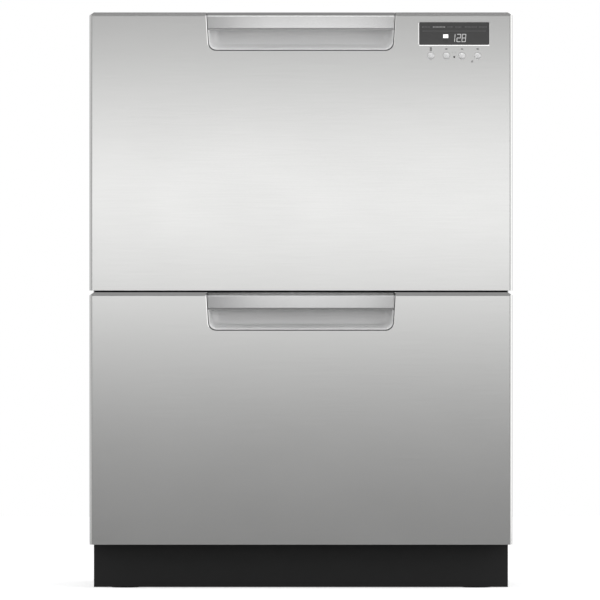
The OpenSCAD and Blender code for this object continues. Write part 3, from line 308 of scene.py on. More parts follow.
@dataclass(frozen=True)
class SilverPaint(Finish):
    """Satin silver paint on plastic: fine flakes of metal in a clear binder."""

    nature = {"Metallic": 0.2}

    def dress(self, tree: Tree, shader: Node) -> None:
        """Adds the flakes, 0.3 mm across."""
        flakes = grain(tree, (0.3, 0.3, 0.3), 1.0)
        self.wire(shader, flakes, relief=(flakes, 0.002))


@dataclass(frozen=True)
class ZincSheet(Finish):
    """Galvanised sheet: a dull grey metal with crystals of zinc, 9 mm across."""

    nature = {"Metallic": 1.0}

    def dress(self, tree: Tree, shader: Node) -> None:
        """Adds crystals that differ in tone and gloss, with smears from rolling."""
        crystals = cells(tree, 9).outputs["Color"]
        tone = add_node(tree, "ShaderNodeSeparateColor", {0: crystals})
        smears = grain(tree, (120, 8, 120))
        values = {0: tone.outputs[0], 1: smears}
        mixed = add_node(tree, "ShaderNodeMath", values, operation="MULTIPLY").outputs[0]
        self.wire(shader, mixed, (tone.outputs[1], 0.03, 0.03), (smears, 0.02))


@dataclass(frozen=True)
class RolledSteel(Finish):
    """Bright zinc plated rail, drawn through rolls along its length, which runs along Y."""

    nature = {"Metallic": 1.0}

    def dress(self, tree: Tree, shader: Node) -> None:
        """Adds draw lines 0.6 mm apart."""
        lines = grain(tree, (0.6, 150, 0.6))
        self.wire(shader, lines, (lines, 0.05, 0.06), (lines, 0.004))


@dataclass(frozen=True)
class MouldedPlastic(Finish):
    """Injection moulded plastic with a spark eroded or a polished mould surface.

    Attributes:
        texture_mm: Size of the mould texture's grains.
        texture_depth_mm: Depth of that texture.
    """

    texture_mm: float = 0.5
    texture_depth_mm: float = 0.01

    def dress(self, tree: Tree, shader: Node) -> None:
        """Adds the mould texture, and the faint clouds that the melt leaves."""
        fine = grain(tree, (self.texture_mm,) * 3)
        clouds = grain(tree, (45, 45, 45), 2.0)
        self.wire(shader, clouds, (fine, 0.04, 0.04), (fine, self.texture_depth_mm))


@dataclass(frozen=True)
class PowderCoat(Finish):
    """Baked powder on steel: orange peel 2 mm across under a low gloss."""

    def dress(self, tree: Tree, shader: Node) -> None:
        """Adds the orange peel and a little dust near the floor."""
        peel = grain(tree, (2, 2, 2), 1.0)
        dust = grain(tree, (30, 30, 12))
        self.wire(shader, dust, (dust, 0.0, 0.08), (peel, 0.02))


@dataclass(frozen=True)
class NylonCoat(Finish):
    """Steel wire dipped in nylon powder: smooth, with slow waves where it flowed."""

    nature = {"Coat Weight": 0.25, "Coat Roughness": 0.2}

    def dress(self, tree: Tree, shader: Node) -> None:
        """Adds the waves, 3 mm long."""
        waves = grain(tree, (3, 3, 3), 1.0)
        self.wire(shader, waves, relief=(waves, 0.05))


@dataclass(frozen=True)
class PiercedPlastic(Finish):
    """Moulded filter surface with fine round holes that show as dark dots of painted shade.

    Attributes:
        pitch_mm: Spacing of the holes.
    """

    pitch_mm: float = 2.4

    def dress(self, tree: Tree, shader: Node) -> None:
        """Adds a dark, sunk dot at each hole: the holes aren't cut, and the dark colour is painted
        shade inside them.
        """
        dots = cells(tree, self.pitch_mm, 0.0).outputs["Distance"]
        values = {"Value": dots, "From Min": 0.22, "From Max": 0.34}
        edge = add_node(tree, "ShaderNodeMapRange", values).outputs["Result"]
        self.wire(shader, edge, relief=(edge, 0.15), ends=(self.worn, self.colour))


@dataclass(frozen=True)
class SmokedAcrylic(Finish):
    """Polished smoked acrylic window with a hard coat: dark, with a clear reflection."""

    nature = {"Coat Weight": 0.4, "Coat Roughness": 0.06}

    def dress(self, tree: Tree, shader: Node) -> None:
        """Adds a faint depth of tone, and wipe marks in the gloss."""
        wipes = grain(tree, (18, 18, 5))
        self.wire(shader, wipes, (wipes, 0.02, 0.04))


@dataclass(frozen=True)
class SolderMask(Finish):
    """Circuit board under green solder mask, with its copper tracks showing through."""

    def dress(self, tree: Tree, shader: Node) -> None:
        """Adds tracks on a grid of 2.5 mm."""
        tracks = cells(tree, 2.5, feature="DISTANCE_TO_EDGE").outputs["Distance"]
        values = {"Value": tracks, "From Min": 0.08, "From Max": 0.12}
        edge = add_node(tree, "ShaderNodeMapRange", values).outputs["Result"]
        self.wire(shader, edge, relief=(edge, 0.03), ends=(self.worn, self.colour))


@dataclass(frozen=True)
class PrintedInk(Finish):
    """Pad printed ink: matt, a little uneven in its cover."""

    def dress(self, tree: Tree, shader: Node) -> None:
        """Adds the unevenness of the ink."""
        self.wire(shader, grain(tree, (0.6, 0.6, 0.6)))


@dataclass(frozen=True)
class LitSegment(Finish):
    """Light emitting segment behind the window: its diffuser scatters the light evenly.

    Attributes:
        glow: Strength of its light.
    """

    glow: float = 1.0

    def settings(self) -> dict:
        """Returns a segment that gives its own light."""
        light = {"Emission Color": linear(self.colour), "Emission Strength": self.glow}
        return {**super().settings(), **light}

    def dress(self, tree: Tree, shader: Node) -> None:
        """Adds the diffuser's fine grain."""
        self.wire(shader, grain(tree, (0.3, 0.3, 0.3)))


STAINLESS = BrushedStainless("brushed_stainless_304", "stainless_skin", "#D5D5D4", "#D2D2D1", 0.10)
GRIP = SatinMetal("satin_anodised_aluminium", "grip_metal", "#FAFAFA", "#F6F6F6", 0.18)
# The lower bar is the same aluminium as the upper one; its darker colour is painted shade for the
# dimmer light that falls on it.
LOWER_GRIP_PAINTED_SHADE = SatinMetal("satin_anodised_aluminium_painted_shade", "grip_metal", "#DEDEDE", "#DADADA", 0.20)
SCOOP = SilverPaint("silver_painted_abs", "scoop_paint", "#F2F2F2", "#EDEDED", 0.45)
BUTTON = SilverPaint("satin_silver_cap", "button_silver", "#FAFAFA", "#F4F4F4", 0.30)
FRAME_PP = MouldedPlastic(
    "glass_filled_polypropylene", "frame_grey", "#55575A", "#4C4E51", 0.55, 0.8, 0.03
)
WINDOW = SmokedAcrylic("smoked_acrylic", "window_dark", "#3C3C3C", "#393939", 0.16)
BOARD = SolderMask("green_solder_mask", "circuit_green", "#1E5A36", "#7A8A3C", 0.35)
ZINC = ZincSheet("galvanised_sheet", "cabinet_zinc", "#DADCDE", "#C4C7CA", 0.42)
BLACK = PowderCoat("black_powder_coat", "black_paint", "#1C1C1D", "#242424", 0.52)
RAIL = RolledSteel("bright_zinc_plate", "slide_steel", "#CED1D4", "#B3B6B9", 0.30)
SCREW = RolledSteel("zinc_plated_screw", "slide_steel", "#C2C5C8", "#A8ABAE", 0.32)
TUB_PP = MouldedPlastic("white_polypropylene", "tub_white", "#DDDFE0", "#D6D8DA", 0.38, 1.2, 0.01)
LID_PP = MouldedPlastic(
    "light_grey_polypropylene", "lid_grey", "#C3C6C8", "#BBBEC1", 0.48, 0.9, 0.02
)
EPDM = MouldedPlastic("epdm_rubber", "seal_rubber", "#2A2A2B", "#343435", 0.72, 0.4, 0.03)
ARM_PP = MouldedPlastic("slate_polypropylene", "arm_grey", "#6F7780", "#686F78", 0.42, 0.8, 0.015)
# The filter's second colour is the painted shade in its holes.
FILTER_PP = PiercedPlastic("fine_filter_plastic", "filter_grey", "#6A6C6F", "#232425", 0.45)
MOTOR_PBT = MouldedPlastic("black_pbt", "motor_black", "#232325", "#2B2B2D", 0.58, 0.9, 0.04)
ACETAL = MouldedPlastic("ivory_acetal", "impeller_ivory", "#DDD8C4", "#D3CDB6", 0.36, 0.6, 0.01)
DISPENSER_PP = MouldedPlastic(
    "mid_grey_polypropylene", "dispenser_grey", "#9DA0A3", "#959A9E", 0.40
)
FLAP_ABS = MouldedPlastic("white_abs", "flap_white", "#E4E5E6", "#DBDDDE", 0.26, 2.0, 0.004)
WIRE = NylonCoat("nylon_coated_wire", "wire_nylon", "#7D8388", "#747A80", 0.38)
BASKET_PP = MouldedPlastic(
    "dark_grey_polypropylene", "basket_grey", "#54585C", "#4B4F53", 0.46, 0.7, 0.02
)
NYLON_WHITE = MouldedPlastic("natural_nylon", "actuator_white", "#DAD9D2", "#CFCEC6", 0.42)
NYLON_BLACK = MouldedPlastic("black_nylon", "fitting_black", "#242424", "#1E1E1E", 0.48)
VALVE = MouldedPlastic("white_nylon", "valve_white", "#E2E2DE", "#D9D9D4", 0.40)
FOOT = MouldedPlastic(
    "black_glass_filled_nylon", "foot_black", "#262627", "#2E2E2F", 0.56, 0.8, 0.03
)
INK = PrintedInk("grey_pad_print", "frame_grey", "#747474", "#7C7C7C", 0.7)
PALE_INK = PrintedInk("light_grey_pad_print", "frame_grey", "#8E8E8E", "#969696", 0.7)
DARK_LENS = PrintedInk("unlit_lens", "window_dark", "#3A3A3A", "#444444", 0.3)
DIM_LEGEND = LitSegment("dim_legend", "window_dark", "#616161", "#666666", 0.5, 0.03)
MID_LEGEND = LitSegment("lit_legend", "window_dark", "#A0A0A0", "#989898", 0.5, 0.22)
NUMBER = LitSegment("grey_white_segment", "window_dark", "#CCCCCC", "#C4C4C4", 0.5, 0.42)
LIT = LitSegment("white_segment", "window_dark", "#FFFFFF", "#F4F4F4", 0.5, 0.75)


# ---------------------------------------------------------------- modelling by hand


def deselect() -> None:
    """Deselects every object, as the next operator acts on all that is selected."""
    if bpy.context.mode != "OBJECT":
        bpy.ops.object.mode_set(mode="OBJECT")
    bpy.ops.object.select_all(action="DESELECT")


def select(piece: Piece) -> None:
    """Selects one piece alone and makes it the active one."""
    deselect()
    piece.select_set(True)
    bpy.context.view_layer.objects.active = piece


@contextmanager
def editing(piece: Piece) -> Iterator[None]:
    """Opens a piece in edit mode with nothing selected, and leaves edit mode at the end."""
    select(piece)
    bpy.ops.object.mode_set(mode="EDIT")
    bpy.ops.mesh.select_all(action="DESELECT")
    yield
    bpy.ops.object.mode_set(mode="OBJECT")


def pick(piece: Piece, what: Select, test: Test) -> int:
    """Selects edges or faces of a piece that is open in edit mode.

    Args:
        piece: The piece.
        what: Edges or faces.
        test: Says yes to an element, from its middle and its normal, or an edge's own direction.

    Returns:
        How many were selected.
    """
    bpy.ops.mesh.select_mode(type=what.value)
    bpy.ops.mesh.select_all(action="DESELECT")
    mesh = bmesh.from_edit_mesh(piece.data)
    mesh.normal_update()
    found = []
    if what is Select.EDGES:
        for edge in mesh.edges:
            first, last = (v.co for v in edge.verts)
            if test((first + last) / 2, (last - first).normalized()):
                found.append(edge)
    else:
        found = [face for face in mesh.faces if test(face.calc_center_median(), face.normal)]
    for element in found:
        element.select_set(True)
    bmesh.update_edit_mesh(piece.data)
    return len(found)


def place(piece: Piece) -> Piece:
    """Puts a new object's place, turn and scale into its mesh, and returns it."""
    select(piece)
    bpy.ops.object.transform_apply(location=True, rotation=True, scale=True)
    return piece


def add_box(name: str, low: Sequence[float], high: Sequence[float]) -> Piece:
    """Adds a box between two corners.

    Args:
        name: The piece's name.
        low: Its lowest corner.
        high: Its highest corner.

    Returns:
        The new object.
    """
    deselect()
    low, high = Vector(low), Vector(high)
    bpy.ops.mesh.primitive_cube_add(size=1, location=(low + high) / 2)
    piece = bpy.context.object
    piece.name = name
    piece.scale = high - low
    return place(piece)


def add_round(
    name: str,
    centre: Sequence[float],
    radius: float,
    depth: float,
    sides: int,
    turn: Place = (0, 0, 0),
) -> Piece:
    """Adds a cylinder about its centre.

    Args:
        name: The piece's name.
        centre: Its middle.
        radius: Its radius.
        depth: Its length along its axis, which is Z before the turn.
        sides: How many sides it has.
        turn: Its turn in radians about X, Y and Z.

    Returns:
        The new object.
    """
    deselect()
    bpy.ops.mesh.primitive_cylinder_add(
        vertices=sides, radius=radius, depth=depth, location=centre, rotation=turn
    )
    bpy.context.object.name = name
    return place(bpy.context.object)


def cut(piece: Piece, point: Sequence[float], normal: Sequence[float], fill: bool = True) -> None:
    """Cuts a piece with a plane and takes one side away.

    Args:
        piece: The piece.
        point: A point of the plane.
        normal: The plane's normal, which points to the side that goes.
        fill: Closes the cut with a face.
    """
    with editing(piece):
        bpy.ops.mesh.select_all(action="SELECT")
        bpy.ops.mesh.bisect(
            plane_co=point,
            plane_no=Vector(normal).normalized(),
            use_fill=fill,
            clear_outer=True,
            threshold=0.001 * MM,
        )


def round_edges(piece: Piece, radius: float, segments: int, test: Test) -> None:
    """Rounds the edges that a test picks.

    Args:
        piece: The piece.
        radius: Radius of the rounding.
        segments: Its steps.
        test: Says yes to an edge, from its middle and its direction.
    """
    with editing(piece):
        if pick(piece, Select.EDGES, test):
            bpy.ops.mesh.bevel(offset=radius, segments=segments, clamp_overlap=True)


def modify(piece: Piece, kind: str, **settings: object) -> None:
    """Adds a modifier to a piece, sets it and applies it.

    Args:
        piece: The piece.
        kind: The modifier's type.
        **settings: Its properties.
    """
    select(piece)
    modifier = piece.modifiers.new(kind.lower(), kind)
    for name, value in settings.items():
        setattr(modifier, name, value)
    bpy.ops.object.modifier_apply(modifier=modifier.name)


def subtract(piece: Piece, tool: Piece) -> None:
    """Cuts a tool's shape out of a piece and removes the tool."""
    modify(piece, "BOOLEAN", object=tool, operation="DIFFERENCE", solver="EXACT")
    bpy.data.objects.remove(tool, do_unlink=True)


def flare(tool: Piece, centre: Place, half: tuple[float, float], grow: tuple[float, float]) -> None:
    """Widens the front face of a tool, so that it leaves a slanted edge where it cuts.

    Args:
        tool: The tool.
        centre: The point that its front face grows from.
        half: Its size from that point, across and up.
        grow: How much wider and higher it gets at each side.
    """
    wider, higher = (1 + more / size for size, more in zip(half, grow))
    with editing(tool):
        pick(tool, Select.FACES, lambda m, n: n.y < -ALONG)
        bpy.ops.transform.resize(value=(wider, 1, higher), center_override=centre)


def soften(piece: Piece, radius: float) -> None:
    """Rounds every sharp edge of a piece a little, as a mould or a press leaves it.

    Args:
        piece: The piece.
        radius: Radius of its edges.
    """
    modify(
        piece,
        "BEVEL",
        width=radius,
        segments=2,
        limit_method="ANGLE",
        angle_limit=math.radians(35),
        miter_outer="MITER_ARC",
        use_clamp_overlap=True,
    )


def smooth(piece: Piece, angle: float) -> None:
    """Shades a piece smoothly over edges that turn less than the angle, with its flats flat."""
    select(piece)
    bpy.ops.object.shade_smooth_by_angle(angle=math.radians(angle))
    modify(piece, "WEIGHTED_NORMAL", mode="FACE_AREA", weight=100, keep_sharp=True)


def join(pieces: Iterable[Piece], name: str) -> Piece:
    """Makes one piece of several.

    Args:
        pieces: The pieces.
        name: The name of the new one.

    Returns:
        The joined object.
    """
    found = list(pieces)
    select(found[0])
    for piece in found:
        piece.select_set(True)
    if len(found) > 1:
        bpy.ops.object.join()
    found[0].name = name
    return found[0]


def copy_at(piece: Piece, offset: Sequence[float]) -> Piece:
    """Copies a piece with its own mesh.

    Args:
        piece: The piece.
        offset: How far the copy is moved.

    Returns:
        The copy.
    """
    select(piece)
    bpy.ops.object.duplicate(linked=False)
    made = bpy.context.object
    made.location = offset
    return place(made)


def mount(
    piece: Piece,
    body: str,
    finish: Finish,
    replaced: Sequence[str] = (),
    angle: float = 35.0,
) -> None:
    """Finishes a piece: smooths it, dresses it and lets it ride on its body.

    Args:
        piece: The piece, in place.
        body: The frame's body that it moves with.
        finish: Its finish.
        replaced: The frame's nodes that it stands for.
        angle: Edges that turn less than this many degrees are shaded smoothly.
    """
    smooth(piece, angle)
    piece.data.materials.clear()
    piece.data.materials.append(finish.material())
    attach(piece, body)
    if replaced:
        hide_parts(*replaced)
    log.info("%s: %d faces on %s", piece.name, len(piece.data.polygons), body)


def moulded_copy(node: str, radius: float) -> Piece:
    """Copies a node of the frame and rounds its edges, for a piece whose form is already right.

    Args:
        node: The frame's node.
        radius: Radius of the edges.

    Returns:
        The rounded copy, which rides on nothing yet.
    """
    source = frame["nodes"][node]
    piece = bpy.data.objects.new(f"{node}_moulded", source.data.copy())
    bpy.context.scene.collection.objects.link(piece)
    with editing(piece):
        bpy.ops.mesh.select_all(action="SELECT")
        bpy.ops.mesh.remove_doubles(threshold=NEAR)
        bpy.ops.mesh.tris_convert_to_quads(
            face_threshold=math.radians(1), shape_threshold=math.radians(40)
        )
    soften(piece, radius)
    return piece


# ---------------------------------------------------------------- studio


@dataclass(frozen=True)
class SoftBox:
    """An area lamp that the camera doesn't see.

    Attributes:
        name: Its name.
        size: Its width and height.
        at: Its place.
        aim: The point that it faces.
        power: Its power in watts.
    """

    name: str
    size: tuple[float, float]
    at: Place
    aim: Place
    power: float

    def hang(self) -> bpy.types.Light:
        """Hangs the lamp in its place and returns its light."""
        lamp = bpy.data.lights.new(self.name, "AREA")
        lamp.shape = "RECTANGLE"
        lamp.size, lamp.size_y = self.size
        lamp.energy = self.power
        holder = bpy.data.objects.new(self.name, lamp)
        holder.location = self.at
        sight = Vector(self.aim) - Vector(self.at)
        holder.rotation_euler = sight.to_track_quat("-Z", "Y").to_euler()
        holder.visible_camera = False
        bpy.context.scene.collection.objects.link(holder)
        return lamp


# Every bank is turned to the middle of the object.
HEART = (0, 0, 0.45)
FRONT_BOX = SoftBox("front_panel", (1.0, 1.9), (0.07, -3.78, 0.96), (0.07, 0, 0.96), 7.8)
BANKS = (
    SoftBox("right_bank", (2.6, 1.8), (2.4, -0.9, 0.9), HEART, 18),
    SoftBox("left_bank", (1.6, 1.8), (-2.4, -1.4, 0.9), HEART, 4),
    SoftBox("top_bank", (2.0, 1.1), (0, -1.6, 2.42), HEART, 14),
)


@dataclass
class Studio:
    """Camera, pale floor and soft lights.

    Attributes:
        face_y: Plane of the fronts.
        view_width: Width of the picture at that plane.
        view_centre: Point of that plane in the middle of the picture, across and up.
        distance: Distance of the camera from the fronts.
        sensor: Width of the camera's sensor, in mm.
        clip: Nearest and farthest distance that the camera sees.
        front_level: Height at which the front lamp is brightest.
        front_fade: Distance from that height at which a quarter of its light is left.
        fill: Strength of the room's light on the object.
        dim: Strength of the room straight in front of the fronts, as gloss sees it.
        bands: Axis, start and end of each ramp from there, and the strength that it reaches.
        ceiling: Start and end of the ramp to the ceiling, and the share of light left there.
        floor_size: Width of the floor.
        paper: The floor's two tones.
        paper_in_gloss: Its tones in front of the object and beside it, as gloss sees them.
        paper_glow: The light that the camera sees added to the floor.
        beside: Distances from the middle between which those tones change.
    """

    face_y: float
    view_width: float = 0.84984
    view_centre: tuple[float, float] = (-0.0013, 0.4086)
    distance: float = 19.0
    sensor: float = 36.0
    clip: tuple[float, float] = (0.1, 60.0)
    front_level: float = 0.58
    front_fade: float = 0.31
    fill: float = 0.62
    dim: float = 0.285
    bands: tuple = (("X", 0.12, 0.5, 0.55), ("Y", 0.3, 0.85, 0.55), ("Z", 0.3, 0.4, 0.40))
    ceiling: Place = (0.93, 0.98, 0.6)
    floor_size: float = 12.0
    paper: tuple[str, str] = ("#EFEFEF", "#ECECEC")
    paper_in_gloss: tuple[str, str] = ("#969696", "#F4F4F4")
    paper_glow: float = 0.55
    beside: tuple[float, float] = (0.36, 1.3)

    def camera(self) -> None:
        """Adds a long lens, level with the middle of the fronts and square to them."""
        lens = bpy.data.cameras.new("long_lens")
        lens.sensor_width = self.sensor
        lens.lens = self.sensor * self.distance / self.view_width
        lens.clip_start, lens.clip_end = self.clip
        eye = bpy.data.objects.new("camera", lens)
        across, up = self.view_centre
        eye.location = (across, self.face_y - self.distance, up)
        eye.rotation_euler = (math.pi / 2, 0, 0)
        bpy.context.scene.collection.objects.link(eye)
        bpy.context.scene.camera = eye

    def gloss_level(self, tree: Tree) -> Socket:
        """Adds the room's strength as gloss sees it.

        It is low straight in front of the steel, where the tall lamp stands, and higher to the
        sides, behind the object and over the lamp, and the ceiling is darker again.

        Args:
            tree: The world's node tree.

        Returns:
            The strength.
        """
        where = add_node(tree, "ShaderNodeTexCoord").outputs["Generated"]
        axes = add_node(tree, "ShaderNodeSeparateXYZ", {0: where})
        aside = add_node(tree, "ShaderNodeMath", {0: axes.outputs["X"]}, operation="ABSOLUTE")
        along = {"X": aside.outputs[0], "Y": axes.outputs["Y"], "Z": axes.outputs["Z"]}
        level = self.dim
        for axis, start, end, top in self.bands:
            ends = {"From Min": start, "From Max": end, "To Min": self.dim, "To Max": top}
            ramp = add_node(tree, "ShaderNodeMapRange", {"Value": along[axis], **ends})
            values = {0: ramp.outputs["Result"], 1: level}
            level = add_node(tree, "ShaderNodeMath", values, operation="MAXIMUM").outputs[0]
        start, end, share = self.ceiling
        ends = {"From Min": start, "From Max": end, "To Min": 1.0, "To Max": share}
        overhead = add_node(tree, "ShaderNodeMapRange", {"Value": along["Z"], **ends})
        values = {0: level, 1: overhead.outputs["Result"]}
        return add_node(tree, "ShaderNodeMath", values, operation="MULTIPLY").outputs[0]

    def world(self) -> None:
        """Fills the room with even light that shows as white behind the object."""
        room = bpy.data.worlds.new("studio")
        room.use_nodes = True
        tree = room.node_tree
        tree.nodes.clear()
        rays = add_node(tree, "ShaderNodeLightPath").outputs
        fill, gloss, shown = (
            add_node(tree, "ShaderNodeBackground", {"Color": linear(WHITE), "Strength": strength})
            for strength in (self.fill, self.gloss_level(tree), 1.0)
        )
        light = fill.outputs[0]
        for ray, seen in (("Glossy", gloss), ("Transmission", shown), ("Camera", shown)):
            values = {0: rays[f"Is {ray} Ray"], 1: light, 2: seen.outputs[0]}
            light = add_node(tree, "ShaderNodeMixShader", values).outputs[0]
        add_node(tree, "ShaderNodeOutputWorld", {"Surface": light})
        bpy.context.scene.world = room

    def floor(self) -> None:
        """Adds a plain white floor that keeps the object's shadow.

        Gloss sees it darker in front of the object, and lighter towards its sides.
        """
        deselect()
        bpy.ops.mesh.primitive_plane_add(size=self.floor_size, location=(0, 0, 0))
        ground = bpy.context.object
        ground.name = "studio_floor"
        paper = bpy.data.materials.new("white_paper")
        paper.use_nodes = True
        tree = paper.node_tree
        tree.nodes.clear()
        rays = add_node(tree, "ShaderNodeLightPath").outputs
        where = add_node(tree, "ShaderNodeTexCoord").outputs["Object"]
        across = add_node(tree, "ShaderNodeSeparateXYZ", {0: where}).outputs["X"]
        aside = add_node(tree, "ShaderNodeMath", {0: across}, operation="ABSOLUTE").outputs[0]
        ends = {"From Min": self.beside[0], "From Max": self.beside[1]}
        beside = add_node(tree, "ShaderNodeMapRange", {"Value": aside, **ends}).outputs["Result"]
        values = {0: beside, 1: rays["Is Glossy Ray"]}
        bright = add_node(tree, "ShaderNodeMath", values, operation="MULTIPLY").outputs[0]
        sheets = []
        fibre = grain(tree, (4, 4, 4))
        for factor, (first, last) in ((fibre, self.paper), (bright, self.paper_in_gloss)):
            tones = {"Factor": factor, 6: linear(first), 7: linear(last)}
            colour = add_node(tree, "ShaderNodeMix", tones, data_type="RGBA").outputs[2]
            values = {"Base Color": colour, "Roughness": 0.9}
            sheets.append(add_node(tree, "ShaderNodeBsdfPrincipled", values).outputs[0])
        light = {"Color": linear(WHITE), "Strength": self.paper_glow}
        glow = add_node(tree, "ShaderNodeEmission", light).outputs[0]
        lit = add_node(tree, "ShaderNodeAddShader", {0: sheets[0], 1: glow}).outputs[0]
        values = {0: rays["Is Camera Ray"], 1: sheets[1], 2: lit}
        mixed = add_node(tree, "ShaderNodeMixShader", values)
        add_node(tree, "ShaderNodeOutputMaterial", {"Surface": mixed.outputs[0]})
        ground.data.materials.append(paper)

    def front_light(self) -> None:
        """Adds a tall lamp straight in front, which fades above and below its brightest line."""
        lamp = FRONT_BOX.hang()
        lamp.use_nodes = True
        tree = lamp.node_tree
        tree.nodes.clear()
        spot = add_node(tree, "ShaderNodeNewGeometry").outputs["Position"]
        value = add_node(tree, "ShaderNodeSeparateXYZ", {0: spot}).outputs["Z"]
        for step, other in (
            ("SUBTRACT", self.front_level),
            ("DIVIDE", self.front_fade),
            ("POWER", 2.0),
            ("ADD", 1.0),
            ("POWER", -2.0),
        ):
            values = {0: value, 1: other}
            value = add_node(tree, "ShaderNodeMath", values, operation=step).outputs[0]
        glow = add_node(tree, "ShaderNodeEmission", {"Strength": value})
        add_node(tree, "ShaderNodeOutputLight", {0: glow.outputs[0]})

    def build(self) -> None:
        """Sets up the whole studio."""
        bpy.context.scene.view_settings.view_transform = "Standard"
        self.camera()
        self.world()
        self.floor()
        self.front_light()
        for lamp in BANKS:
            lamp.hang()
        log.info("studio: %d lamps", len(BANKS) + 1)


# ---------------------------------------------------------------- fronts


@dataclass
class FrontPanel:
    """One drawer front: folded stainless skin, grip bar and the pocket under it.

    Attributes:
        drawer: The drawer that it belongs to.
        skin: Thickness of the steel.
        bevel: Depth and height of the bevel along the top edge of the steel.
        bar_bevel: Depth and height of the bevel along the top edge of the bar.
        mitre: Width and height that are cut from each top corner.
        fold: Radius of the folds at the sides.
        hem: Radius of the fold at the bottom.
        handle_half: Half width of the recess at its top.
        handle_taper: Narrowing of that half width at its bottom.
        handle_h: Height of the recess.
        handle_r: Corner radius of the recess.
        notch_edge: Width at the sides and at the bottom of the steel's slanted edge round it.
        bar_t: Thickness of the grip bar at its ends.
        bar_drop: How far the bar reaches below the frame's own.
        bow: Bow of the bar in front of the face.
        bar_edge: Height of the slanted edge under the bar.
        bar_r: Radius of the bar's long edges.
        bar_end_r: Radius of the edges at its ends.
        lip: Depth and width of the slanted lip round the pocket.
        bar_gap: Gap between the ends of the bar and the steel.
        bar_play: Gap between the bar and the seat that it lies in.
        pocket_gap: Gap between the pocket's lip and the steel.
        pocket_depth: Depth of the pocket behind the face.
        pocket_roof: Thickness of the pocket's roof.
        pocket_rim: Thickness of the pocket's rim at the face.
        cove: How far the pocket's sides and floor curve in towards its back.
        cove_steps: Steps of that curve.
    """

    drawer: Drawer
    skin: float = 1.0 * MM
    bevel: tuple[float, float] = (1.2 * MM, 5.2 * MM)
    bar_bevel: tuple[float, float] = (5.0 * MM, 5.2 * MM)
    mitre: tuple[float, float] = (6.4 * MM, 4.2 * MM)
    fold: float = 3.8 * MM
    hem: float = 1.2 * MM
    handle_half: float = 134.4 * MM
    handle_taper: float = 3.4 * MM
    handle_h: float = 54.2 * MM
    handle_r: float = 11.5 * MM
    notch_edge: tuple[float, float] = (1.15 * MM, 0.2 * MM)
    bar_t: float = 8 * MM
    bar_drop: float = 2.4 * MM
    bow: float = 4 * MM
    bar_edge: float = 2.4 * MM
    bar_r: float = 0.5 * MM
    bar_end_r: float = 0.9 * MM
    lip: tuple[float, float] = (2.4 * MM, 2.0 * MM)
    bar_gap: float = 1.3 * MM
    bar_play: float = 0.2 * MM
    pocket_gap: float = 1.1 * MM
    pocket_depth: float = 21.8 * MM
    pocket_roof: float = 2.6 * MM
    pocket_rim: float = 0.5 * MM
    cove: tuple[float, float] = (14 * MM, 7 * MM)
    cove_steps: int = 9

    def __post_init__(self) -> None:
        """Reads the panel's corners from the frame."""
        self.low, self.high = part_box(self.drawer.node("front_skin"))
        self.body = self.drawer.node("drawer")
        self.bar_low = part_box(self.drawer.node("handle_bar"))[0].z - self.bar_drop

    def recess(self, name: str, inset: float, y0: float, y1: float, top: float = 0.0) -> Piece:
        """Returns a solid with the outline of the handle recess.

        Args:
            name: The object's name.
            inset: How far the outline lies inside the recess's own.
            y0: Front of the solid.
            y1: Back of the solid.
            top: Height of its top above the front's top edge.

        Returns:
            The solid, with round lower corners.
        """
        half = self.handle_half - inset
        bottom = self.high.z - self.handle_h + inset
        piece = add_box(name, (-half, y0, bottom), (half, y1, self.high.z + top))
        with editing(piece):
            pick(piece, Select.FACES, lambda m, n: n.z < -0.5)
            bpy.ops.transform.resize(value=((half - self.handle_taper) / half, 1, 1))
        radius = self.handle_r - inset
        round_edges(piece, radius, 10, lambda m, d: abs(d.y) > ALONG and m.z < bottom + NEAR)
        return piece

    def steel_skin(self, holes: Sequence[Piece]) -> Piece:
        """Presses the stainless skin.

        Args:
            holes: Solids whose shapes are cut from it.

        Returns:
            The skin.
        """
        low, high = self.low, self.high
        face, (depth, rise), (wide, tall) = low.y, self.bevel, self.mitre
        skin = add_box(self.drawer.node("steel_skin"), low, high)
        round_edges(skin, self.fold, 8, lambda m, d: abs(d.z) > ALONG and m.y < face + NEAR)
        cut(skin, (0, face, high.z - rise), (0, -rise, depth))
        for side in (-1, 1):
            cut(skin, (side * high.x, 0, high.z - tall), (side * tall, 0, wide))

        def at_foot(middle: Vector, way: Vector) -> bool:
            """Says yes to the edge along the foot of the face."""
            in_front = middle.y < face + self.fold + NEAR
            return in_front and middle.z < low.z + NEAR and abs(way.x) > ALONG

        round_edges(skin, self.hem, 8, at_foot)
        with editing(skin):
            pick(skin, Select.FACES, lambda m, n: n.y > ALONG)
            bpy.ops.mesh.delete(type="FACE")
        modify(skin, "SOLIDIFY", thickness=self.skin, offset=-1, use_even_offset=True)
        over, seat = 2 * MM, face + self.bar_t + self.bar_play
        subtract(skin, self.recess("notch", 0, face - 2 * self.bow, seat, over))
        # The tool of the slanted edge starts just before the steel and ends half way into it.
        edge = self.recess("notch_edge", 0.02 * MM, face - 0.05 * MM, face + self.skin / 2, over)
        flare(edge, (0, face, high.z), (self.handle_half, self.handle_h), self.notch_edge)
        subtract(skin, edge)
        for hole in holes:
            subtract(skin, hole)
        return skin

    def roll_edges(self, skin: Piece, low: Sequence[float], high: Sequence[float]) -> None:
        """Rolls the steel's edges that lie in the plane of the face.

        Args:
            skin: The steel skin.
            low: Lower left corner of the region that they lie in.
            high: Its upper right corner.
        """

        def on_face(middle: Vector, way: Vector) -> bool:
            """Says yes to an edge in the face and between the corners."""
            inside = low[0] < middle.x < high[0] and low[1] < middle.z < high[1]
            return inside and abs(middle.y - self.low.y) < NEAR and abs(way.y) < ACROSS

        round_edges(skin, FINE_EDGE, 3, on_face)

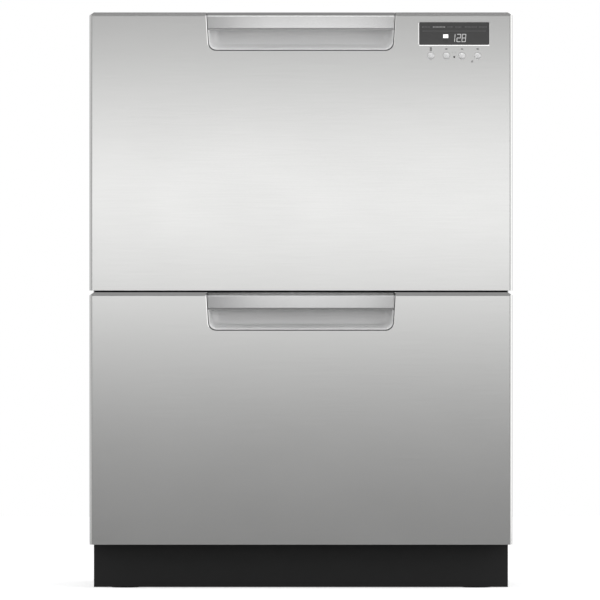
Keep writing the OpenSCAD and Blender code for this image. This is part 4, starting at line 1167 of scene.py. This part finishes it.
    def grip_bar(self) -> Piece:
        """Bends the grip bar: half of it is spun about the middle of its bow, then mirrored."""
        depth, rise = self.bar_bevel
        front, high = self.low.y - self.bow, self.high.z
        low = self.bar_low
        bow_radius = (self.handle_half**2 + self.bow**2) / (2 * self.bow)
        name, back = self.drawer.node("grip_bar"), front + self.bar_t
        bar = add_box(name, (-MM, front, low), (0, back, high))
        with editing(bar):
            pick(bar, Select.FACES, lambda m, n: n.x < 0.5)
            bpy.ops.mesh.delete(type="FACE")
        cut(bar, (0, front, high - rise), (0, -rise, depth), fill=False)
        cut(bar, (0, front, low + self.bar_edge), (0, -1, -0.5), fill=False)
        with editing(bar):
            bpy.ops.mesh.select_all(action="SELECT")
            bpy.ops.mesh.bevel(offset=self.bar_r, segments=3, affect="VERTICES")
            bpy.ops.mesh.select_all(action="SELECT")
            # It is spun past the recess's side, and trimmed to it afterwards.
            bpy.ops.mesh.spin(
                steps=40,
                angle=1.08 * self.handle_half / bow_radius,
                center=(0, front + bow_radius, low),
                axis=(0, 0, 1),
            )
            pick(bar, Select.FACES, lambda m, n: abs(n.x) > ALONG)
            bpy.ops.mesh.delete(type="FACE")
        modify(bar, "MIRROR", merge_threshold=NEAR)
        self.trim_bar(bar)
        return bar

    def trim_bar(self, bar: Piece) -> None:
        """Cuts the bar's ends to the slanted sides of the recess and rounds them.

        Args:
            bar: The bar, bent and mirrored.
        """
        half, top = self.handle_half - self.bar_gap, self.high.z
        for side in (-1, 1):
            cut(bar, (side * half, 0, top), (side * self.handle_h, 0, -self.handle_taper))
        with editing(bar):
            bpy.ops.mesh.select_all(action="SELECT")
            bpy.ops.mesh.remove_doubles(threshold=NEAR)
            bpy.ops.mesh.normals_make_consistent(inside=False)
        slope = self.handle_taper / self.handle_h

        def at_end(middle: Vector, way: Vector) -> bool:
            """Says yes to an edge of the bar's cut ends."""
            return abs(abs(middle.x) - half + slope * (top - middle.z)) < 2 * NEAR

        round_edges(bar, self.bar_end_r, 3, at_end)

    def hollow(self, roof: float) -> Piece:
        """Shapes the room of the pocket: a slanted lip, then walls that curve in to the back.

        Args:
            roof: Height of the pocket's roof.

        Returns:
            The solid that is cut from the pocket.
        """
        face = self.low.y
        start = self.pocket_gap + self.pocket_rim
        tool = self.recess("hollow", start, face - MM, face, roof - self.high.z)
        height = roof - self.high.z + self.handle_h
        deep, wide = self.lip
        steps = []
        for i in range(self.cove_steps + 1):
            turn = math.radians(90 * i / self.cove_steps)
            back = deep + (self.pocket_depth - deep) * math.sin(turn)
            aside, up = (start + wide + size * (1 - math.cos(turn)) for size in self.cove)
            steps.append((back, aside, up))
        done = (0.0, start, start)
        with editing(tool):
            pick(tool, Select.FACES, lambda m, n: n.y > ALONG)
            for step in steps:
                bpy.ops.mesh.extrude_region_move(
                    TRANSFORM_OT_translate={"value": (0, step[0] - done[0], 0)}
                )
                narrower = (self.handle_half - step[1]) / (self.handle_half - done[1])
                lower = (height - step[2]) / (height - done[2])
                bpy.ops.transform.resize(
                    value=(narrower, 1, lower), center_override=(0, face + step[0], roof)
                )
                done = step
            bpy.ops.mesh.select_all(action="SELECT")
            bpy.ops.mesh.normals_make_consistent(inside=False)
        return tool

    def pocket(self) -> Piece:
        """Moulds the pocket behind and under the bar."""
        face, top = self.low.y, self.high.z
        scoop_low, scoop_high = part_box(self.drawer.node("handle_scoop"))
        piece = self.recess(self.drawer.node("pocket"), self.pocket_gap, scoop_low.y, scoop_high.y)
        cut(piece, (0, 0, scoop_high.z), (0, 0, 1))
        subtract(piece, self.hollow(scoop_high.z - self.pocket_roof))
        seat = add_box(
            "bar_seat",
            (-self.handle_half, face - 2 * self.bow, self.bar_low - self.bar_play),
            (self.handle_half, face + self.bar_t + self.bar_play, top + MM),
        )
        subtract(piece, seat)
        round_edges(
            piece, FINE_EDGE, 2, lambda m, d: abs(m.y - scoop_low.y) < NEAR and abs(d.y) < ACROSS
        )
        return piece

    def build(self, holes: Sequence[Piece] = ()) -> None:
        """Builds the front.

        Args:
            holes: Solids whose shapes the controls need cut from the steel.
        """
        skin = self.steel_skin(holes)
        if holes:
            # The holes of the buttons and of the status light lie 4 to 30 mm under the window.
            low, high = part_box("display_window")
            self.roll_edges(skin, (low.x, low.z - 30 * MM), (high.x, low.z - 4 * MM))
        # The bevel tilts by 13 degrees and stays crisp, and the fold turns by 11.25 at a step.
        mount(skin, self.body, STAINLESS, [self.drawer.node("front_skin")], 12)
        # The lower bar takes the darker copy of the aluminium, whose colour is painted shade.
        finish = GRIP if self.drawer is Drawer.UPPER else LOWER_GRIP_PAINTED_SHADE
        mount(self.grip_bar(), self.body, finish, [self.drawer.node("handle_bar")], 30)
        mount(self.pocket(), self.body, SCOOP, [self.drawer.node("handle_scoop")], 40)


# ---------------------------------------------------------------- controls


@dataclass
class Controls:
    """Display window, buttons and status light of the upper front.

    The marks have their places and sizes in mm, across and up: those on the window from its
    middle, a button's sign from that button's middle, and the dots and the ring from the point
    under the window's middle that is level with the buttons.

    Attributes:
        face_y: Plane of the steel face.
        window: Width and height of the hole for the window.
        window_r: Radius of that hole's corners.
        window_edge: Width of the slanted edge round that hole.
        window_play: How much smaller the pane is than its hole.
        flange_grow: How much larger the window's flange is than its hole.
        flange_t: Thickness of that flange.
        button_r: Radius of a button.
        button_play: Gap round a button.
        button_h: Distance from the face to the back of a button's flange.
        button_flange: Width of that flange round the button, and its thickness.
        plunger_r: Radius of the plunger behind a button.
        light_r: Radius of the status light's lens.
        light_t: Thickness of that lens.
        light_play: Gap round it, and its depth behind the face.
        light_drop: How far the status light lies below the middle of the buttons.
        ink_t: How far ink stands out from the steel.
        mark_t: How far a mark stands out from the window.
        root: How far ink, marks and the buttons' domes reach behind that surface.
        words: Ends of the words of the upper row, with the finish of each.
        word_level: Height of that row's middle.
        letter: Width and spacing of its letters, and the height of a small and of a tall one.
        letter_least: Width of the narrowest letter at the end of a word.
        blocks: Name, lower left and upper right corner, and finish of each plain mark.
        digits: Left side of each digit, and its lit segments.
        digit: Width and height of a digit.
        digit_foot: Height of the digits' feet.
        digit_gap: Gap at the ends of a segment.
        stroke: Thickness of a segment.
        slant: How far a digit leans over its height.
        icons: Width and height of the sign over each button.
        icon_level: Height of a sign above its button's middle.
        dots: The two printed dots.
        dot_r: Radius of a dot.
        ring: The printed ring.
        ring_r: Radius of the ring, and of its bore.
    """

    face_y: float
    window: tuple[float, float] = (99.6 * MM, 31.8 * MM)
    window_r: float = 2.0 * MM
    window_edge: float = 0.95 * MM
    window_play: float = 0.2 * MM
    flange_grow: float = 6.0 * MM
    flange_t: float = 2.0 * MM
    button_r: float = 4.2 * MM
    button_play: float = 0.8 * MM
    button_h: float = 2.2 * MM
    button_flange: tuple[float, float] = (1.2 * MM, 1.0 * MM)
    plunger_r: float = 1.8 * MM
    light_r: float = 1.25 * MM
    light_t: float = 0.9 * MM
    light_play: float = 0.1 * MM
    light_drop: float = 1.7 * MM
    ink_t: float = 0.02 * MM
    mark_t: float = 0.03 * MM
    root: float = 0.1 * MM
    words: tuple = (
        (-45.6, -34.3, DIM_LEGEND),
        (-30.0, -13.0, MID_LEGEND),
        (-9.5, -1.7, DIM_LEGEND),
        (1.8, 11.0, DIM_LEGEND),
        (15.3, 32.3, DIM_LEGEND),
        (35.1, 46.4, DIM_LEGEND),
    )
    word_level: float = 9.6
    letter: tuple[float, float, float, float] = (1.25, 1.75, 1.2, 1.7)
    letter_least: float = 0.7
    blocks: tuple = (
        ("rule", (-44.9, 3.5), (45.0, 4.2), DIM_LEGEND),
        ("field", (-15.6, -6.0), (-8.5, -0.9), LIT),
        ("shadow_field", (-15.9, -10.9), (-8.1, -7.4), DARK_LENS),
    )
    digits: tuple = ((-4.9, "bc"), (3.2, "abged"), (10.4, "abcdefg"))
    digit: tuple[float, float] = (5.8, 11.3)
    digit_foot: float = -11.6
    digit_gap: float = 0.12
    stroke: float = 0.85
    slant: float = 0.08
    icons: tuple = ((3.0, 5.6), (3.2, 1.7), (3.2, 1.6), (3.4, 1.8))
    icon_level: float = 9.6
    dots: tuple = ((-2.6, 4.4), (1.6, 4.4))
    dot_r: float = 0.45 * MM
    ring: tuple[float, float] = (25.5, -8.1)
    ring_r: tuple[float, float] = (1.5 * MM, 0.6 * MM)

    def __post_init__(self) -> None:
        """Reads the places of the window and of the buttons from the frame."""
        low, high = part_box("display_window")
        self.middle = ((low.x + high.x) / 2, (low.z + high.z) / 2)
        self.window_y, self.window_back = low.y, high.y
        boxes = [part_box(f"button_{i}") for i in range(1, 5)]
        self.buttons = [((low.x + high.x) / 2, (low.z + high.z) / 2) for low, high in boxes]
        self.row = (self.middle[0], self.buttons[0][1])
        self.light = (self.row[0], self.row[1] - self.light_drop)

    def plate(self, name: str, grow: float, radius: float, y0: float, y1: float) -> Piece:
        """Adds a plate about the window's middle.

        Args:
            name: Its name.
            grow: How much larger it is than the window's hole.
            radius: Radius of its corners.
            y0: Its front.
            y1: Its back.

        Returns:
            The plate.
        """
        (x, z), (wide, tall) = self.middle, ((size + grow) / 2 for size in self.window)
        piece = add_box(name, (x - wide, y0, z - tall), (x + wide, y1, z + tall))
        round_edges(piece, radius, 6, lambda m, d: abs(d.y) > ALONG)
        return piece

    def disc(
        self,
        name: str,
        centre: tuple[float, float],
        radius: float,
        y0: float,
        y1: float,
        sides: int = 32,
    ) -> Piece:
        """Adds a round solid that runs straight back.

        Args:
            name: Its name.
            centre: Its middle, across and up.
            radius: Its radius.
            y0: Its front.
            y1: Its back.
            sides: How many sides it has.

        Returns:
            The solid.
        """
        middle = (centre[0], (y0 + y1) / 2, centre[1])
        return add_round(name, middle, radius, y1 - y0, sides, (math.pi / 2, 0, 0))

    def holes(self) -> list[Piece]:
        """Returns the solids that are cut from the steel."""
        face = self.face_y
        y0, y1 = face - 2 * MM, face + 3 * MM
        hole = self.plate("window_hole", 0, self.window_r, y0, y1)
        # The tool of the slanted edge starts just before the steel and ends half way into it.
        start, end = face - 0.05 * MM, face + 0.5 * MM
        edge = self.plate("window_edge", -0.04 * MM, self.window_r, start, end)
        (x, z), (wide, tall), grow = self.middle, self.window, self.window_edge
        flare(edge, (x, face, z), (wide / 2, tall / 2), (grow, grow))
        found = [hole, edge]
        for i, spot in enumerate(self.buttons):
            radius = self.button_r + self.button_play
            found.append(self.disc(f"button_hole_{i}", spot, radius, y0, y1, 48))
        radius = self.light_r + self.light_play
        found.append(self.disc("light_hole", self.light, radius, y0, y1))
        return found

    def glass(self) -> None:
        """Moulds the smoked window with its flange behind the steel."""
        front, back = self.window_y, self.window_back
        radius = self.window_r - self.window_play / 2
        # The pane reaches a quarter of the way into its flange.
        end = back - 0.75 * self.flange_t
        pane = self.plate("smoked_window", -self.window_play, radius, front, end)
        round_edges(pane, FINE_EDGE, 2, lambda m, d: abs(d.y) < ACROSS and m.y < front + NEAR)
        start, radius = back - self.flange_t, 2 * self.window_r
        flange = self.plate("flange", self.flange_grow, radius, start, back)
        mount(join([pane, flange], "smoked_window"), "upper_drawer", WINDOW, ["display_window"])

    def mark(self, name: str, low: tuple[float, float], high: tuple[float, float]) -> Piece:
        """Adds a thin mark on the window.

        Args:
            name: Its name.
            low: Its lower left corner in mm.
            high: Its upper right corner in mm.

        Returns:
            The mark.
        """
        (x, z), front = self.middle, self.window_y
        return add_box(
            name,
            (x + low[0] * MM, front - self.mark_t, z + low[1] * MM),
            (x + high[0] * MM, front + self.root, z + high[1] * MM),
        )

    def segment(self, name: str, low: tuple[float, float], high: tuple[float, float]) -> Piece:
        """Adds one segment of a digit with pointed ends, leaning with the digit.

        Args:
            name: Its name.
            low: Its lower left corner.
            high: Its upper right corner.

        Returns:
            The segment.
        """
        piece = self.mark(name, low, high)
        with editing(piece):
            for side, level in ((-1, low[1]), (1, high[1])):
                pick(piece, Select.FACES, lambda m, n: side * n.z > ALONG)
                lean = (level - self.digit_foot) * self.slant * MM
                bpy.ops.transform.translate(value=(lean, 0, 0))
        round_edges(piece, 0.42 * self.stroke * MM, 1, lambda m, d: abs(d.y) > ALONG)
        return piece

    def number(self, name: str, left: float, lit: str) -> Piece:
        """Adds a digit of seven segments.

        Args:
            name: Its name.
            left: Its left side.
            lit: Its lit segments: a at the top, then clockwise to f, and g across the middle.

        Returns:
            The digit.
        """
        (wide, tall), foot, t, gap = self.digit, self.digit_foot, self.stroke, self.digit_gap
        half, right, top = tall / 2, left + wide, foot + tall
        level = {"a": top - t, "g": foot + half - t / 2, "d": foot}
        parts = []
        for letter in lit:
            if letter in level:
                low, high = (left + gap, level[letter]), (right - gap, level[letter] + t)
            else:
                x = left if letter in "ef" else right - t
                z0, z1 = (foot, foot + half) if letter in "ce" else (foot + half, top)
                low, high = (x, z0 + gap), (x + t, z1 - gap)
            parts.append(self.segment(f"{name}_{letter}", low, high))
        return join(parts, name)

    def legends(self) -> None:
        """Prints the words as rows of small strokes, then the rule, the fields and the number."""
        wide, pitch, small, large = self.letter
        for i, (left, right, finish) in enumerate(self.words):
            strokes, x = [], left
            while x < right - self.letter_least:
                half = (small if len(strokes) % 3 else large) / 2
                low = (x, self.word_level - half)
                high = (min(x + wide, right), self.word_level + half)
                strokes.append(self.mark(f"stroke_{i}_{len(strokes)}", low, high))
                x += pitch
            mount(join(strokes, f"word_{i + 1}"), "upper_drawer", finish)
        for name, low, high, finish in self.blocks:
            mount(self.mark(name, low, high), "upper_drawer", finish)
        numbers = (self.number(f"digit_{i}", *of) for i, of in enumerate(self.digits, 1))
        mount(join(numbers, "number"), "upper_drawer", NUMBER)

    def button(self, number: int) -> None:
        """Turns one domed button with its flange and plunger.

        Args:
            number: The button's number, from 1 at the left.
        """
        spot, radius, face = self.buttons[number - 1], self.button_r, self.face_y
        low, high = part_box(f"button_{number}")
        deselect()
        bpy.ops.mesh.primitive_uv_sphere_add(
            segments=48,
            ring_count=24,
            radius=radius,
            location=(spot[0], face, spot[1]),
            rotation=(math.pi / 2, 0, 0),
        )
        dome = bpy.context.object
        dome.scale = (1, 1, (face - low.y) / radius)
        place(dome)
        cut(dome, (0, face + self.root, 0), (0, 1, 0))
        back, (wide, thick) = face + self.button_h, self.button_flange
        parts = [
            dome,
            self.disc("side", spot, radius - 0.02 * MM, face, back, 48),
            self.disc("flange", spot, radius + wide, back - thick, back, 48),
            self.disc("plunger", spot, self.plunger_r, back, high.y, 48),
        ]
        name = f"button_{number}"
        mount(join(parts, f"{name}_cap"), f"{name}_body", BUTTON, [name])

    def signs(self) -> None:
        """Prints the sign over each button, the two dots and the ring."""
        y0, y1 = self.face_y - self.ink_t, self.face_y + self.root
        for i, ((x, z), (wide, tall)) in enumerate(zip(self.buttons, self.icons)):
            low = (x - wide / 2 * MM, y0, z + (self.icon_level - tall / 2) * MM)
            high = (x + wide / 2 * MM, y1, z + (self.icon_level + tall / 2) * MM)
            sign = add_box(f"sign_{i + 1}", low, high)
            round_edges(sign, 0.5 * MM, 3, lambda m, d: abs(d.y) > ALONG)
            mount(sign, "upper_drawer", INK if i else PALE_INK)
        x, z = self.row
        spots = [(x + across * MM, z + up * MM) for across, up in (*self.dots, self.ring)]
        dots = [self.disc("dot", spot, self.dot_r, y0, y1, 24) for spot in spots[:-1]]
        mount(join(dots, "two_dots"), "upper_drawer", INK)
        ring = self.disc("ring", spots[-1], self.ring_r[0], y0, y1)
        subtract(ring, self.disc("bore", spots[-1], self.ring_r[1], y0 - 2 * MM, y0 + 2 * MM))
        mount(ring, "upper_drawer", INK)

    def lamp(self) -> None:
        """Adds the dark lens of the status light."""
        front = self.face_y + self.light_play
        lens = self.disc("status_lens", self.light, self.light_r, front, front + self.light_t)
        soften(lens, 0.2 * MM)
        mount(lens, "upper_drawer", DARK_LENS)

    def build(self) -> None:
        """Builds every piece of the controls."""
        self.glass()
        self.legends()
        for number in range(1, 5):
            self.button(number)
        self.signs()
        self.lamp()


# ---------------------------------------------------------------- cabinet and wash drawers


@dataclass(frozen=True)
class Dressing:
    """How a node of the frame is finished.

    Attributes:
        finish: Its finish.
        radius: Radius of its softened edges in mm.
    """

    finish: Finish
    radius: float

    def dress(self, node: str) -> None:
        """Puts a rounded copy in its finish in the place of one node."""
        body = body_of(frame["nodes"][node])[0]
        mount(moulded_copy(node, self.radius * MM), body, self.finish, [node], 30)


@dataclass
class Cabinet:
    """Galvanised cabinet with its base, rails, connections, feet and screws.

    Attributes:
        screw_head: Radius and height of a screw's pan head.
        screw_slot: Length, width and depth of each of the two slots of its cross.
        screw_inset: Distance of the screws from the edges of a panel.
        pieces: Each dressing, with the nodes that it goes on.
    """

    screw_head: tuple[float, float] = (4.0 * MM, 1.8 * MM)
    screw_slot: Place = (4.4 * MM, 0.9 * MM, 1.0 * MM)
    screw_inset: float = 14 * MM
    pieces: tuple = (
        (
            Dressing(ZINC, 0.4),
            ("base_tray", "side_panel_left", "side_panel_right", "top_panel", "rear_panel"),
        ),
        (Dressing(BLACK, 0.5), ("mid_rail",)),
        (Dressing(BLACK, 0.8), ("toe_kick",)),
        (Dressing(RAIL, 0.3), ("outer_rails",)),
        (Dressing(NYLON_WHITE, 0.4), ("lid_actuators",)),
        (Dressing(VALVE, 0.5), ("inlet_valve",)),
        (Dressing(NYLON_BLACK, 0.4), ("drain_spigot", "mains_gland")),
        (
            Dressing(FOOT, 0.5),
            ("foot_front_left", "foot_front_right", "foot_rear_left", "foot_rear_right"),
        ),
        (Dressing(BOARD, 0.2), ("control_board",)),
    )

    def screw(self, turn: Place) -> Piece:
        """Adds a pan head screw at the origin, seated on its underside.

        Args:
            turn: Its turn in radians about X, Y and Z. Its head points up before the turn.

        Returns:
            The screw.
        """
        radius, height = self.screw_head
        head = add_round("cabinet_screw", (0, 0, height / 2), radius, height, 32)
        round_edges(head, 0.7 * height, 4, lambda m, d: m.z > height - NEAR)
        long, wide, deep = self.screw_slot
        for across, along in ((long, wide), (wide, long)):
            corner = (across / 2, along / 2, height + MM)
            subtract(head, add_box("slot", (-across / 2, -along / 2, height - deep), corner))
        head.rotation_euler = turn
        return place(head)

    def screws(self) -> None:
        """Drives the screws that hold the top and the side panels."""
        inset = self.screw_inset
        low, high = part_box("top_panel")
        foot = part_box("side_panel_left")[0].z
        levels = (foot + 3 * inset, (foot + high.z) / 2, high.z - 2 * inset)
        columns = (low.x + 2 * inset, high.x - 2 * inset)
        rows = (low.y + 4 * inset, high.y - 2 * inset)
        faces = {(0, 0, 0): [(x, y, high.z) for x in columns for y in rows]}
        for side in (-1, 1):
            faces[(0, side * math.pi / 2, 0)] = [
                (side * high.x, y, z) for y in (low.y + inset, high.y - inset) for z in levels
            ]
        made = []
        for turn, spots in faces.items():
            head = self.screw(turn)
            made += [copy_at(head, spot) for spot in spots]
            bpy.data.objects.remove(head, do_unlink=True)
        mount(join(made, "cabinet_screws"), "chassis", SCREW, angle=40)

    def build(self) -> None:
        """Dresses every piece and drives the screws."""
        for dressing, nodes in self.pieces:
            for node in nodes:
                dressing.dress(node)
        self.screws()


@dataclass
class WashDrawer:
    """Everything behind one front: tub, slides, wash system, lid, racks and dispenser.

    Attributes:
        drawer: Which drawer it is.
        pieces: Dressing of each part that both drawers have.
    """

    drawer: Drawer
    pieces: tuple = (
        ("front_frame", Dressing(FRAME_PP, 0.4)),
        ("tub", Dressing(TUB_PP, 0.7)),
        ("inner_rails", Dressing(RAIL, 0.3)),
        ("middle_rails", Dressing(RAIL, 0.3)),
        ("lid", Dressing(LID_PP, 0.6)),
        ("lid_seal", Dressing(EPDM, 0.2)),
        ("spray_arm", Dressing(ARM_PP, 0.6)),
        ("filter_plate", Dressing(FILTER_PP, 0.4)),
        ("drain_filter", Dressing(FILTER_PP, 0.3)),
        ("wash_motor", Dressing(MOTOR_PBT, 0.6)),
        ("impeller", Dressing(ACETAL, 0.4)),
        ("dispenser", Dressing(DISPENSER_PP, 0.6)),
        ("dispenser_flap", Dressing(FLAP_ABS, 0.4)),
        ("rack", Dressing(WIRE, 0.4)),
        ("cutlery_basket", Dressing(BASKET_PP, 0.4)),
    )

    def build(self) -> None:
        """Dresses every piece, and last the folding wires, which differ in the two drawers."""
        folding = "cup_shelf" if self.drawer is Drawer.UPPER else "folding_tines"
        for part, dressing in (*self.pieces, (folding, Dressing(WIRE, 0.4))):
            dressing.dress(self.drawer.node(part))


def main() -> None:
    """Builds the studio and every piece."""
    logging.basicConfig(level=logging.INFO, format="%(name)s: %(message)s")
    face_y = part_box("upper_front_skin")[0].y
    Studio(face_y).build()
    controls = Controls(face_y)
    FrontPanel(Drawer.UPPER).build(controls.holes())
    FrontPanel(Drawer.LOWER).build()
    controls.build()
    Cabinet().build()
    for drawer in Drawer:
        WashDrawer(drawer).build()


if __name__ == "__main__":
    main()
